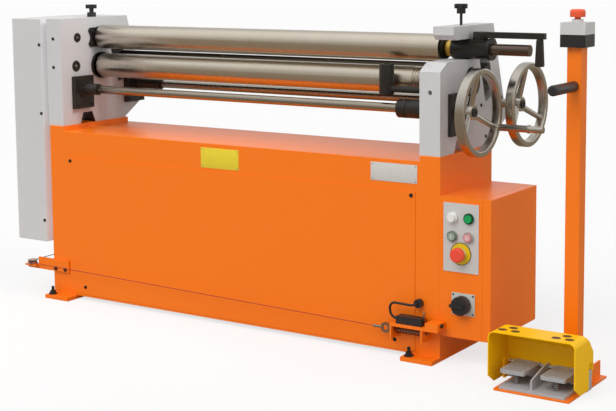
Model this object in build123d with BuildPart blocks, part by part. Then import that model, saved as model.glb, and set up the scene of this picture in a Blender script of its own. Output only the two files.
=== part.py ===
from build123d import *
import math
import os

os.makedirs("parts", exist_ok=True)

# Floor, base cabinet and its welded feet
base_length = 1454.0
base_depth = 317.0
bed_height = 556.0
bed_thickness = 18.0
base_wall = 6.0
pad_width = 64.0
pad_height = 16.0
foot_width = 101.0
foot_thickness = 12.0
foot_overhang = 46.5
anchor_edge = 18.0
anchor_front = 20.0
anchor_hole = 14.0
panel_margin = 77.0
panel_low = 20.0
panel_high = 472.0
panel_thickness = 2.0
panel_lap = 22.0

# Side frames
frame_thickness = 64.0
frame_overhang = 7.0
right_inset = 67.0
frame_front_step = 5.0
frame_height = 350.0
frame_top_rear = 171.0
rear_slope = 0.315
rear_foot_rise = 68.0
rear_foot_y = 150.0
arch_front = -72.0
arch_rear = 2.0
arch_taper = 15.0
arch_height = 36.0
throat_back = 67.0
throat_lip_y = -112.0
throat_front_drop = 24.0
arm_front = -76.0
arm_chamfer = 14.0
set_screw_hole = 14.0
set_screw_height = 174.0
set_screw_depth = 20.0

# Rolls
roll_y = 30.0
upper_axis_drop = 66.0
roll_diameter = 80.0
roll_gap = 15.0
lift_travel = 14.0
roll_left_gap = 18.0
upper_right_gap = 21.5
lower_right_gap = 15.0
journal_diameter = 40.0
groove_radius = 3.0
groove_gap = 6.3
groove_inset = 70.0
groove_count = 3

# Fits
running_fit = 0.05
face_gap = 0.3
slide_fit = 0.3

# Lower roll bearings
boss_diameter = 59.4
bearing_flange = 80.0
bearing_flange_thickness = 8.0
lift_rod_diameter = 24.0
lift_rod_length = 84.0
lift_rod_spare = 6.0

# Rear roll, guided by slanted slots
rear_y = 131.5
rear_drop = 91.0
slot_lean = 17.5
slot_width = 58.6
slot_low = 62.0
rear_block_length = 70.0
rear_travel = 45.0
rear_journal = 36.0
rear_rod_diameter = 20.0
rear_rod_length = 84.0

# Upper roll, its swinging end housing and its drive ball
ball_diameter = 43.0
ball_clear = 0.8
ball_setback = 32.0
neck_diameter = 24.0
hub_diameter = 70.0
socket_spare = 3.0
upper_journal = 34.0
collar_diameter = 60.0
collar_width = 9.7
lower_collar_gap = 5.0
lower_collar_width = 12.0
bush_diameter = 48.0
bush_seat = 20.0
housing_diameter = 57.0
housing_setback = 11.0
housing_length = 131.0
throat_clear = 0.5
housing_flange = 62.0
housing_flange_width = 8.0
pull_shaft_diameter = 32.0
pull_shaft_length = 113.0
journal_end_gap = 18.0
roll_flange_width = 108.0
roll_flange_height = 64.0
roll_flange_round = 12.0
roll_flange_waist = 8.0
roll_flange_scallop = 26.0
roll_flange_hole = 52.0
roll_flange_thickness = 6.0

# Release crank on the housing
crank_inset = 29.0
crank_hub_radius = 21.0
crank_hub_height = 20.0
crank_seat_width = 46.0
crank_pin = 16.0
crank_pin_depth = 6.0
crank_reach = 195.0
crank_bar_width = 16.0
crank_bar_height = 17.0
crank_bar_rise = 3.0
crank_grip_diameter = 27.0
crank_grip_neck = 20.0
crank_grip_length = 75.0
crank_grip_edge = 2.5
crank_grip_inset = 16.0

# Gears, chain and drive
gear_width = 30.0
gear_teeth = 10
gear_root = 31.0
gear_tip = 49.3
tooth_root_width = 10.0
tooth_tip_width = 4.0
gear_offset = 36.0
chain_pitch = 12.7
driver_teeth = 12
driven_teeth = 24
sprocket_width = 10.0
sprocket_offset = 28.0
sprocket_root = 4.0
sprocket_rise = 2.0
sprocket_root_width = 8.0
sprocket_tip_width = 4.0
sprocket_hub = 25.0
chain_clear = 0.5
chain_height = 7.0
reducer_z = 330.0
reducer_size = 140.0
reducer_length = 110.0
output_diameter = 28.0
output_inside = 40.0
motor_diameter = 140.0
motor_length = 230.0
fan_cowl_diameter = 128.0
fan_cowl_length = 45.0
terminal_box = 60.0
wall_hole = 90.0

# Gear cover
cover_gap = 21.0
cover_width = 130.0
cover_rear = 198.5
cover_low = 178.0
cover_drop = 1.0
cover_wall = 3.0
case_thickness = 4.0
spacer_diameter = 24.0
top_spacers = (-110.0, 136.0)
top_spacer_drop = 36.0
low_spacers = (-110.0, 172.0)
low_spacer_rise = 68.0
base_spacers = ((-110.0, 240.0), (110.0, 240.0))
hub_opening = 80.0
guide_height = 60.0
guide_depth = 26.0

# Adjusting shafts and their boxes
shaft_diameter = 26.0
front_shaft_y = -61.5
rear_shaft_y = 195.5
shaft_drop = 168.0
shaft_end_inset = 5.0
box_front = -108.5
box_rear = -20.0
box_under = 64.0
box_over = 43.0
box_thickness = 16.0
sleeve_diameter = 37.0
sleeve_length = 76.0
rear_sleeve_length = 130.0
ring_diameter = 56.0
ring_width = 7.0
coupling_diameter = 54.0
coupling_length = 115.0
coupling_groove = 29.0
coupling_groove_width = 5.0
coupling_groove_depth = 2.0
through_diameter = 40.0
outer_plate_under = 66.0
outer_plate_over = 52.0
outer_plate_thickness = 10.0
rear_coupling_length = 60.0
rear_flange_thickness = 9.0

# Handwheels
wheel_diameter = 245.0
rim_width = 26.0
rim_depth = 18.0
rim_edge = 4.0
wheel_hub_diameter = 42.0
wheel_hub_length = 33.0
wheel_dish = 14.0
front_wheel_reach = 71.0
rear_wheel_reach = 96.0
spoke_root = 19.0
spoke_tip = 15.0
spoke_angle = -27.0
spoke_count = 3
handle_pin = 10.0
handle_inset = 4.5
handle_diameter = 20.0
handle_ring_diameter = 24.0
handle_tip_diameter = 19.0
handle_gap = 5.0
handle_sleeve = 84.0
handle_ring = 5.0
handle_tip = 41.0
handle_cap = 8.0
handle_pin_gap = 2.0

# Clamping knobs
knob_stem = 8.0
knob_lobes = 5
knob_lobe_radius = 7.0
knob_lobe_circle = 12.5
knob_core = 12.0
knob_head_height = 13.0
left_knob_foot = 30.0
left_knob_foot_height = 15.0
left_knob_neck = 15.0
left_knob_neck_height = 13.0
right_knob_rise = 32.5
right_knob_boss = 25.0
right_knob_boss_height = 14.5
left_stem_depth = 20.0
right_stem_gap = 4.5

# Cone bending post
post_diameter = 43.0
post_inset = 165.0
post_y = -48.5
post_drop = 133.0
post_under_roll = 4.0
post_arm = 20.0
post_arm_rise = 17.0
post_chamfer = 2.0

# Electrical cabinet on the base's right end
cabinet_width = 128.0
cabinet_cover_width = 25.6
cabinet_rear = 133.5
cabinet_low = 77.0
cabinet_high = 467.0
cabinet_wall = 2.0
mounting_plate = 3.0
mounting_margin = 24.0
contactor_count = 3
contactor_width = 46.0
contactor_step = 62.0
contactor_height = 86.0
contactor_depth = 70.0
contactor_z = 300.0
terminal_height = 34.0
terminal_z = 140.0

# Control plate with its buttons, and the main switch
plate_left = 11.5
plate_right = 118.0
plate_low = 261.0
plate_high = 451.0
plate_thickness = 2.0
bezel_diameter = 30.0
bezel_height = 7.0
button_diameter = 21.6
button_length = 7.0
button_rest = 4.0
button_stem = 10.0
button_stem_length = 18.0
lamp_place = (40.5, 412.0)
lamp_diameter = 22.0
lamp_length = 15.0
start_place = (90.0, 412.0)
on_place = (40.0, 359.5)
off_place = (88.5, 360.5)
stop_place = (65.0, 313.0)
stop_neck = 30.0
stop_neck_height = 10.0
stop_head = 40.0
stop_head_length = 16.0
stop_head_rest = 5.0
stop_stem = 16.0
stop_stem_length = 22.0
switch_place = (71.0, 172.0)
switch_diameter = 52.0
switch_length = 20.0
switch_gap = 3.5
switch_bar_width = 8.0
switch_bar_length = 56.0
switch_bar_height = 6.0

# Trip wire along the front, its brackets, spring and limit switch
wire_diameter = 2.5
wire_out = 24.5
pulley_reach = 88.0
pulley_diameter = 35.0
pulley_groove_radius = 14.0
pulley_height = 13.0
pulley_z = 106.0
pulley_pin = 10.0
wire_gap = 0.3
shelf_thickness = 6.0
shelf_half = 24.0
trip_flange_gap = 5.0
trip_flange_low = 84.0
trip_flange_high = 124.0
wire_rear_inset = 30.5
rear_arm_depth = 16.0
eye_inset = 158.0
eye_z = 82.0
eye_diameter = 30.0
eye_hole = 16.0
eye_thickness = 6.0
crimp_diameter = 8.0
crimp_length = 26.0
crimp_room = 8.0
trip_travel = 5.0
pull_rod_diameter = 8.0
bracket_left = 133.0
bracket_right = 18.0
bracket_depth = 46.5
bracket_low = 59.0
bracket_top = 103.0
bracket_thickness = 5.0
bracket_lip = 8.0
bracket_lip_thickness = 3.0
mid_flange = 36.0
step_width = 40.0
step_height = 15.0
spring_diameter = 20.0
spring_wire = 2.0
spring_turns = 9
spring_left_gap = 0.3
nut_thickness = 8.0
nut_width = 22.0
limit_left = 117.0
limit_length = 80.0
limit_depth = 30.0
limit_height = 21.0
lever_thickness = 4.0
lever_width = 8.0
lever_length = 24.0
lever_pin = 6.0
lever_pin_depth = 6.0
lead_diameter = 7.0
lead_left = 142.0
gland_gap = 3.0
gland_z = 160.0
gland_diameter = 24.0
gland_height = 16.0
lead_out = 39.5
lead_bends = (20.0, 21.0, 12.0)

# Pedal stand
stand_left = 233.0
stand_width = 209.0
stand_front = -304.0
stand_rear = -50.0
stand_thickness = 6.0
guard_left = 212.5
guard_width = 241.0
guard_front = -295.0
guard_rear = -175.0
guard_low = 11.0
guard_high = 153.0
guard_wall = 2.5
guard_round = 18.0
guard_cut_depth = 35.0
guard_cut_height = 24.0
guard_slope_depth = 39.0
guard_slope_height = 48.0
guard_step_depth = 28.0
guard_step_z = 80.0
guard_rear_low = 58.0
guard_slot_length = 24.0
guard_slot_width = 10.0
guard_slot_inset = 46.0
guard_slot_front = 30.0
guard_slot_step = 28.0
guard_slot_spread = 18.0
pedal_base_height = 8.0
pedal_base_inset = 14.0
pedal_base_margin = 4.0
pedal_base_gap = 0.5
pedal_bar_height = 20.0
pedal_bar_depth = 12.0
pedal_cheek_width = 6.0
pedal_cheek_depth = 32.0
pedal_cheek_high = 58.0
pedal_rib_width = 5.0
pedal_rib_margin = 10.0
pedal_rib_front_high = 39.0
pedal_pin = 8.0
pedal_barrel = 14.0
pedal_pivot_y = -185.0
pedal_pivot_z = 49.0
pedal_width = 68.0
pedal_offset = 56.0
pedal_front = -286.0
pedal_low = 44.0
pedal_high = 54.0
pedal_round = 5.0
pedal_skirt_front = -262.0
pedal_skirt_low = 28.0
pedal_skirt_slope = 30.0
pedal_skirt_width = 4.0
channel_width = 138.0
channel_left = 53.0
channel_front = -120.0
channel_rear = -50.0
channel_height = 40.0
channel_wall = 5.0
column_left = 102.0
column_size = 40.0
column_front = -90.0
column_wall = 3.0
column_high = 878.0
stand_box_size = 70.0
stand_box_height = 64.0
stand_box_round = 4.0
stand_neck = 30.0
stand_neck_height = 8.0
stand_head = 40.0
stand_head_low = 14.0
stand_head_height = 20.0
stand_stem_depth = 20.0
stand_grip_diameter = 28.0
stand_grip_length = 140.0
stand_grip_z = 776.0
stand_grip_round = 6.0

# Places that follow from the sizes above
base_x = foot_width / 2 - anchor_edge
base_left = base_x - base_length / 2
base_right = base_x + base_length / 2
base_front = -base_depth / 2
base_rear = base_depth / 2
left_outer = base_left - frame_overhang
left_inner = left_outer + frame_thickness
right_inner = base_right - right_inset
right_outer = right_inner + frame_thickness
panel_left = base_left + panel_margin
panel_right = base_right - panel_margin
frame_low = bed_height + pad_height
frame_high = frame_low + frame_height
frame_front = base_front + frame_front_step
upper_z = frame_high - upper_axis_drop
lower_z = upper_z - roll_diameter - roll_gap
flange_drop = roll_flange_height / 2 + lift_travel + lower_collar_gap
lower_collar = 2 * (upper_z - lower_z - flange_drop)
rear_z = upper_z - rear_drop
shaft_z = upper_z - shaft_drop
roll_left = left_inner + roll_left_gap
upper_right = right_inner - upper_right_gap
lower_right = right_inner - lower_right_gap
throat_floor = upper_z - housing_diameter / 2 - throat_clear
throat_ceiling = upper_z + housing_diameter / 2 + throat_clear
lean = math.radians(slot_lean)
slot_along = (-math.sin(lean), math.cos(lean))
slot_high = rear_block_length / 2 + rear_travel + slide_fit
ball_x = left_inner - ball_setback
cover_right = left_outer - cover_gap
cover_left = cover_right - cover_width
case_left = cover_right - case_thickness
cover_high = frame_high - cover_drop
gear_right = left_outer - gear_offset
gear_left = gear_right - gear_width
sprocket_right = gear_left - sprocket_offset
sprocket_left = sprocket_right - sprocket_width
driver_pitch = chain_pitch * driver_teeth / (2 * math.pi)
driven_pitch = chain_pitch * driven_teeth / (2 * math.pi)
housing_left = right_inner + housing_setback
housing_right = right_inner + housing_length
post_x = right_inner - post_inset
seat_top = upper_z + housing_diameter / 2
crank_x = right_outer + crank_inset
wire_y = base_front - wire_out
wire_rear = base_rear - wire_rear_inset
bracket_front = base_front - bracket_depth
lead_front = base_front - lead_out
gland_x = panel_right + gland_gap + gland_diameter / 2


def block(x, y, z, mode=Mode.ADD):
    """Box between two limits along each axis."""
    with Locations(((x[0] + x[1]) / 2, (y[0] + y[1]) / 2, (z[0] + z[1]) / 2)):
        Box(x[1] - x[0], y[1] - y[0], z[1] - z[0], mode=mode)


def rod_x(x, y, z, diameter, mode=Mode.ADD):
    """Round bar along X."""
    with Locations(Location(((x[0] + x[1]) / 2, y, z), (0, 90, 0))):
        Cylinder(diameter / 2, x[1] - x[0], mode=mode)


def rod_y(x, y, z, diameter, mode=Mode.ADD):
    """Round bar along Y."""
    with Locations(Location((x, (y[0] + y[1]) / 2, z), (90, 0, 0))):
        Cylinder(diameter / 2, y[1] - y[0], mode=mode)


def rod_z(x, y, z, diameter, mode=Mode.ADD):
    """Upright round bar."""
    with Locations((x, y, (z[0] + z[1]) / 2)):
        Cylinder(diameter / 2, z[1] - z[0], mode=mode)


def sheet_x(points, x, mode=Mode.ADD):
    """Flat profile of Y and Z points, extruded between two X limits."""
    with BuildSketch(Plane.YZ.offset(x[0])) as profile:
        with BuildLine():
            Polyline(*points, close=True)
        make_face()
    extrude(profile.sketch, amount=x[1] - x[0], mode=mode)


def slot_point(along, across):
    """Point of the slanted slot, from the rear roll's rest place."""
    y = rear_y + along * slot_along[0] + across * slot_along[1]
    z = rear_z + along * slot_along[1] - across * slot_along[0]
    return (y, z)


def slot_box(low, high, width, x, mode=Mode.ADD):
    """Slanted block or opening along the rear roll's slot."""
    corners = ((low, -width / 2), (low, width / 2), (high, width / 2), (high, -width / 2))
    sheet_x([slot_point(*corner) for corner in corners], x, mode)


def slot_rod(low, high, x, diameter, mode=Mode.ADD):
    """Slanted round bar or bore along the rear roll's slot."""
    start = slot_point(low, 0)
    axis = Plane(origin=(x, *start), x_dir=(1, 0, 0), z_dir=(0, *slot_along))
    with BuildSketch(axis) as section:
        Circle(diameter / 2)
    extrude(section.sketch, amount=high - low, mode=mode)


def lift_slot(x, width, mode):
    """Upright slot with round ends for the lower roll's bearing and its lift."""
    rod_x(x, roll_y, lower_z, width, mode)
    rod_x(x, roll_y, lower_z + lift_travel, width, mode)
    block(x, (roll_y - width / 2, roll_y + width / 2), (lower_z, lower_z + lift_travel), mode)


def toothed(teeth, root, tip, root_width, tip_width, turn):
    """Outline of a toothed wheel about its own centre."""
    points = []
    for tooth in range(teeth):
        angle = turn + 2 * math.pi * tooth / teeth
        flank = ((root, -root_width), (tip, -tip_width), (tip, tip_width), (root, root_width))
        for radius, width in flank:
            y = radius * math.cos(angle) - width / 2 * math.sin(angle)
            z = radius * math.sin(angle) + width / 2 * math.cos(angle)
            points.append((y, z))
    return points


def toothed_wheel(outline, x, y, z):
    """Toothed wheel between two X limits."""
    sheet_x([(y + point[0], z + point[1]) for point in outline], x)


def frame_openings(x):
    """Openings that both side frames share: lift slot, lift rod bore and the slanted slot."""
    middle = (x[0] + x[1]) / 2
    lift_slot(x, boss_diameter + 2 * slide_fit, Mode.SUBTRACT)
    rod_top = lower_z
    rod_low = lower_z - boss_diameter / 2 - lift_rod_length - lift_rod_spare
    rod_z(middle, roll_y, (rod_low, rod_top), lift_rod_diameter + 4 * running_fit, Mode.SUBTRACT)
    slot_box(-slot_low, slot_high, slot_width + 2 * slide_fit, x, Mode.SUBTRACT)
    low = -rear_block_length / 2 - rear_rod_length - lift_rod_spare
    slot_rod(low, -slot_low + slide_fit, middle, rear_rod_diameter + 4 * running_fit, Mode.SUBTRACT)


rear_low_y = frame_top_rear + rear_slope * (frame_height - rear_foot_rise)
rear_edge = [
    (frame_top_rear, frame_high),
    (rear_low_y, frame_low + rear_foot_rise),
    (rear_foot_y, frame_low),
    (arch_rear, frame_low),
    (arch_rear - arch_taper, frame_low + arch_height),
    (arch_front + arch_taper, frame_low + arch_height),
    (arch_front, frame_low),
    (frame_front, frame_low),
]

# Welded base cabinet with the bed, the two raised pads and the two foot plates
with BuildPart() as base_cabinet:
    block((base_left, base_right), (base_front, base_rear), (foot_thickness, bed_height))
    block(
        (base_left + base_wall, base_right - base_wall),
        (base_front + base_wall, base_rear - base_wall),
        (foot_thickness + base_wall, bed_height - bed_thickness),
        Mode.SUBTRACT,
    )
    block(
        (panel_left + panel_lap, panel_right - panel_lap),
        (base_front, base_front + base_wall),
        (panel_low + panel_lap, panel_high - panel_lap),
        Mode.SUBTRACT,
    )
    for pad_left in (base_left, base_right - pad_width):
        pad = (pad_left, pad_left + pad_width)
        block(pad, (base_front, base_rear), (bed_height, bed_height + pad_height))
    for foot_left in (base_left, base_right - foot_width):
        foot = (foot_left, foot_left + foot_width)
        reach = (base_front - foot_overhang, base_rear + foot_overhang)
        block(foot, reach, (0, foot_thickness))
        for anchor_y in (reach[0] + anchor_front, reach[1] - anchor_front):
            rod_z(foot_left + anchor_edge, anchor_y, (0, foot_thickness), anchor_hole, Mode.SUBTRACT)
    rod_x((base_left, base_left + base_wall), 0, reducer_z, wall_hole, Mode.SUBTRACT)
base_cabinet.part.label = "base_cabinet"
export_step(base_cabinet.part, "parts/base_cabinet.step")

# Removable sheet panel over the opening in the front of the base
with BuildPart() as front_panel:
    block(
        (panel_left, panel_right),
        (base_front - panel_thickness, base_front),
        (panel_low, panel_high),
    )
front_panel.part.label = "front_panel"
export_step(front_panel.part, "parts/front_panel.step")

# Left side frame, a casting closed at the top
with BuildPart() as left_frame:
    left_span = (left_outer, left_inner)
    sheet_x([(frame_front, frame_high)] + rear_edge, left_span)
    frame_openings(left_span)
    rod_x(left_span, roll_y, upper_z, hub_diameter + 2 * running_fit, Mode.SUBTRACT)
    left_middle = (left_outer + left_inner) / 2
    stem_low = frame_high - left_stem_depth - lift_rod_spare
    rod_z(left_middle, roll_y, (stem_low, frame_high), knob_stem + 2 * running_fit, Mode.SUBTRACT)
left_frame.part.label = "left_frame"
export_step(left_frame.part, "parts/left_frame.step")

# Right side frame, a casting with a throat that the end housing swings out of
with BuildPart() as right_frame:
    right_span = (right_inner, right_outer)
    right_edge = [
        (frame_front, throat_floor - throat_front_drop),
        (throat_lip_y, throat_floor),
        (throat_back, throat_floor),
        (throat_back, throat_ceiling),
        (arm_front + arm_chamfer, throat_ceiling),
        (arm_front, throat_ceiling + arm_chamfer),
        (arm_front, frame_high),
    ]
    sheet_x(right_edge + rear_edge, right_span)
    frame_openings(right_span)
    for shaft_y in (front_shaft_y, rear_shaft_y):
        rod_x(right_span, shaft_y, shaft_z, through_diameter, Mode.SUBTRACT)
    right_middle = (right_inner + right_outer) / 2
    arm_span = (throat_ceiling, frame_high)
    rod_z(right_middle, roll_y, arm_span, knob_stem + 2 * running_fit, Mode.SUBTRACT)
    screw_span = (frame_front, frame_front + set_screw_depth)
    screw_z = frame_low + set_screw_height
    rod_y(right_middle, screw_span, screw_z, set_screw_hole, Mode.SUBTRACT)
right_frame.part.label = "right_frame"
export_step(right_frame.part, "parts/right_frame.step")

# Back plate of the gear case, held off the frame and the base on spacers, with a chain guide
chain_centre = (roll_y / 2, (upper_z + reducer_z) / 2)
with BuildPart() as gear_case_plate:
    block(
        (case_left, cover_right),
        (base_front + cover_wall, cover_rear - cover_wall),
        (cover_low + cover_wall, cover_high - cover_wall),
    )
    for spacer_y in top_spacers:
        rod_x((cover_right, left_outer), spacer_y, frame_high - top_spacer_drop, spacer_diameter)
    for spacer_y in low_spacers:
        rod_x((cover_right, left_outer), spacer_y, frame_low + low_spacer_rise, spacer_diameter)
    for spacer_y, spacer_z in base_spacers:
        rod_x((cover_right, base_left), spacer_y, spacer_z, spacer_diameter)
    plate_span = (case_left, cover_right)
    rod_x(plate_span, roll_y, upper_z, hub_opening, Mode.SUBTRACT)
    lift_slot(plate_span, boss_diameter, Mode.SUBTRACT)
    rod_x(plate_span, 0, reducer_z, boss_diameter, Mode.SUBTRACT)
    run_y = chain_centre[0] + (driver_pitch + driven_pitch) / 2
    block(
        (sprocket_right, case_left),
        (run_y - guide_depth / 2, run_y + guide_depth / 2),
        (chain_centre[1] - guide_height / 2, chain_centre[1] + guide_height / 2),
    )
gear_case_plate.part.label = "gear_case_plate"
export_step(gear_case_plate.part, "parts/gear_case_plate.step")

# Folded sheet cover over the gears and the chain, open towards the frame
with BuildPart() as gear_cover:
    block((cover_left, cover_right), (base_front, cover_rear), (cover_low, cover_high))
    block(
        (cover_left + cover_wall, cover_right),
        (base_front + cover_wall, cover_rear - cover_wall),
        (cover_low + cover_wall, cover_high - cover_wall),
        Mode.SUBTRACT,
    )
gear_cover.part.label = "gear_cover"
export_step(gear_cover.part, "parts/gear_cover.step")

# Gear reducer, bolted inside the base's left wall
reducer_left = base_left + base_wall
reducer_right = reducer_left + reducer_length
with BuildPart() as gear_reducer:
    reducer_half = reducer_size / 2
    reducer_z_span = (reducer_z - reducer_half, reducer_z + reducer_half)
    block((reducer_left, reducer_right), (-reducer_half, reducer_half), reducer_z_span)
    bore_span = (reducer_left, reducer_left + output_inside + lift_rod_spare)
    rod_x(bore_span, 0, reducer_z, output_diameter + 2 * running_fit, Mode.SUBTRACT)
gear_reducer.part.label = "gear_reducer"
export_step(gear_reducer.part, "parts/gear_reducer.step")

# Electric motor with its terminal box and fan cowl
with BuildPart() as drive_motor:
    motor_right = reducer_right + motor_length
    rod_x((reducer_right, motor_right), 0, reducer_z, motor_diameter)
    rod_x((motor_right, motor_right + fan_cowl_length), 0, reducer_z, fan_cowl_diameter)
    terminal_left = reducer_right + terminal_box
    terminal_top = reducer_z + motor_diameter / 2 + terminal_box / 2
    block(
        (terminal_left, terminal_left + terminal_box),
        (-terminal_box / 2, terminal_box / 2),
        (reducer_z, terminal_top),
    )
drive_motor.part.label = "drive_motor"
export_step(drive_motor.part, "parts/drive_motor.step")

# Drive sprocket on the reducer's output shaft
with BuildPart() as drive_sprocket:
    rod_x((sprocket_left, reducer_left + output_inside), 0, reducer_z, output_diameter)
    driver = toothed(
        driver_teeth,
        driver_pitch - sprocket_root,
        driver_pitch + sprocket_rise,
        sprocket_root_width,
        sprocket_tip_width,
        0,
    )
    toothed_wheel(driver, (sprocket_left, sprocket_right), 0, reducer_z)
drive_sprocket.part.label = "drive_sprocket"
export_step(drive_sprocket.part, "parts/drive_sprocket.step")

# Roller chain from the drive sprocket up to the sprocket beside the upper gear
with BuildPart() as drive_chain:
    chain_plane = Plane.YZ.offset(sprocket_left)
    with BuildSketch(chain_plane):
        with Locations((0, reducer_z)):
            Circle(driver_pitch + sprocket_rise + chain_clear + chain_height)
        with Locations((roll_y, upper_z)):
            Circle(driven_pitch + sprocket_rise + chain_clear + chain_height)
        make_hull()
    extrude(amount=sprocket_width)
    with BuildSketch(chain_plane):
        with Locations((0, reducer_z)):
            Circle(driver_pitch + sprocket_rise + chain_clear)
        with Locations((roll_y, upper_z)):
            Circle(driven_pitch + sprocket_rise + chain_clear)
        make_hull()
    extrude(amount=sprocket_width, mode=Mode.SUBTRACT)
drive_chain.part.label = "drive_chain"
export_step(drive_chain.part, "parts/drive_chain.step")

# Upper gear with its sprocket, its hub in the left frame and the socket for the drive ball
with BuildPart() as upper_gear:
    rod_x((gear_right, left_inner), roll_y, upper_z, hub_diameter)
    gear_outline = toothed(gear_teeth, gear_root, gear_tip, tooth_root_width, tooth_tip_width, math.pi / 2)
    toothed_wheel(gear_outline, (gear_left, gear_right), roll_y, upper_z)
    rod_x((sprocket_right, gear_left), roll_y, upper_z, sprocket_hub * 2)
    driven = toothed(
        driven_teeth,
        driven_pitch - sprocket_root,
        driven_pitch + sprocket_rise,
        sprocket_root_width,
        sprocket_tip_width,
        0,
    )
    toothed_wheel(driven, (sprocket_left, sprocket_right), roll_y, upper_z)
    socket = (ball_x - ball_diameter / 2 - socket_spare, left_inner)
    rod_x(socket, roll_y, upper_z, ball_diameter + 2 * ball_clear, Mode.SUBTRACT)
upper_gear.part.label = "upper_gear"
export_step(upper_gear.part, "parts/upper_gear.step")

# Lower gear, pressed on the lower roll's journal
with BuildPart() as lower_gear:
    low_turn = -math.pi / 2 + math.pi / gear_teeth
    low_outline = toothed(gear_teeth, gear_root, gear_tip, tooth_root_width, tooth_tip_width, low_turn)
    toothed_wheel(low_outline, (gear_left, gear_right), roll_y, lower_z)
    rod_x((gear_left, gear_right), roll_y, lower_z, journal_diameter, Mode.SUBTRACT)
lower_gear.part.label = "lower_gear"
export_step(lower_gear.part, "parts/lower_gear.step")

# Lower roll with its journals, its left collar and the wire grooves near its right end
with BuildPart() as lower_roll:
    rod_x((roll_left, lower_right), roll_y, lower_z, roll_diameter)
    journal_right = right_outer + face_gap + bearing_flange_thickness
    rod_x((gear_left, roll_left), roll_y, lower_z, journal_diameter)
    collar_left = left_inner + 2 * face_gap
    rod_x((collar_left, collar_left + lower_collar_width), roll_y, lower_z, lower_collar)
    rod_x((lower_right, journal_right), roll_y, lower_z, journal_diameter)
    for groove in range(groove_count):
        groove_x = lower_right - groove_inset - groove * (groove_radius + groove_gap)
        with BuildSketch(Plane(origin=(groove_x, roll_y, lower_z), x_dir=(1, 0, 0), z_dir=(0, -1, 0))):
            with Locations((0, roll_diameter / 2)):
                Circle(groove_radius)
        revolve(axis=Axis((groove_x, roll_y, lower_z), (1, 0, 0)), mode=Mode.SUBTRACT)
lower_roll.part.label = "lower_roll"
export_step(lower_roll.part, "parts/lower_roll.step")

# Sliding bearings of the lower roll, each on its lift rod
with BuildPart() as lower_bearings:
    left_flange = (left_outer - face_gap - bearing_flange_thickness, left_outer - face_gap)
    right_flange = (right_outer + face_gap, journal_right)
    for body_span, flange_span in ((left_span, left_flange), (right_span, right_flange)):
        whole = (min(body_span[0], flange_span[0]), max(body_span[1], flange_span[1]))
        rod_x(whole, roll_y, lower_z, boss_diameter)
        rod_x(flange_span, roll_y, lower_z, bearing_flange)
        rod_low = lower_z - boss_diameter / 2 - lift_rod_length
        rod_z((body_span[0] + body_span[1]) / 2, roll_y, (rod_low, lower_z), lift_rod_diameter)
        rod_x(whole, roll_y, lower_z, journal_diameter + 2 * running_fit, Mode.SUBTRACT)
lower_bearings.part.label = "lower_bearings"
export_step(lower_bearings.part, "parts/lower_bearings.step")

# Sliding bearings of the rear roll, each on its slanted adjusting rod
with BuildPart() as rear_bearings:
    half_block = rear_block_length / 2
    for body_span in (left_span, right_span):
        slot_box(-half_block, half_block, slot_width, body_span)
        block_middle = (body_span[0] + body_span[1]) / 2
        slot_rod(-half_block - rear_rod_length, -half_block + running_fit, block_middle, rear_rod_diameter)
        rod_x(body_span, rear_y, rear_z, rear_journal + 2 * running_fit, Mode.SUBTRACT)
rear_bearings.part.label = "rear_bearings"
export_step(rear_bearings.part, "parts/rear_bearings.step")

# Rear bending roll
with BuildPart() as rear_roll:
    rod_x((roll_left, lower_right), rear_y, rear_z, roll_diameter)
    rod_x((left_outer, right_outer), rear_y, rear_z, rear_journal)
rear_roll.part.label = "rear_roll"
export_step(rear_roll.part, "parts/rear_roll.step")

# Upper roll with its drive ball at the left and its long journal at the right
with BuildPart() as upper_roll:
    rod_x((roll_left, upper_right), roll_y, upper_z, roll_diameter)
    rod_x((ball_x, roll_left), roll_y, upper_z, neck_diameter)
    with Locations((ball_x, roll_y, upper_z)):
        Sphere(ball_diameter / 2)
    rod_x((upper_right, upper_right + collar_width), roll_y, upper_z, collar_diameter)
    rod_x((upper_right, housing_right - journal_end_gap), roll_y, upper_z, upper_journal)
upper_roll.part.label = "upper_roll"
export_step(upper_roll.part, "parts/upper_roll.step")

# Brass bush that the upper roll's right journal turns in
with BuildPart() as brass_bush:
    bush_span = (upper_right + collar_width + face_gap, housing_left + bush_seat)
    rod_x(bush_span, roll_y, upper_z, bush_diameter)
    rod_x(bush_span, roll_y, upper_z, upper_journal + 2 * running_fit, Mode.SUBTRACT)
brass_bush.part.label = "brass_bush"
export_step(brass_bush.part, "parts/brass_bush.step")

# Black end housing that lies in the throat, with its pull shaft and the crank's seat
with BuildPart() as end_housing:
    rod_x((housing_left, housing_right), roll_y, upper_z, housing_diameter)
    rod_x((housing_right - housing_flange_width, housing_right), roll_y, upper_z, housing_flange)
    rod_x((housing_right, housing_right + pull_shaft_length), roll_y, upper_z, pull_shaft_diameter)
    seat_half = crank_seat_width / 2
    block(
        (crank_x - seat_half, crank_x + seat_half),
        (roll_y - seat_half, roll_y + seat_half),
        (upper_z, seat_top),
    )
    rod_x((housing_left, housing_left + bush_seat), roll_y, upper_z, bush_diameter, Mode.SUBTRACT)
    bore_right = housing_right - journal_end_gap + lift_rod_spare
    rod_x((housing_left, bore_right), roll_y, upper_z, upper_journal + 4 * running_fit, Mode.SUBTRACT)
    pin_bore = crank_pin + 2 * running_fit
    pin_low = seat_top - crank_pin_depth
    rod_z(crank_x, roll_y, (pin_low, seat_top), pin_bore, Mode.SUBTRACT)
end_housing.part.label = "end_housing"
export_step(end_housing.part, "parts/end_housing.step")

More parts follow.
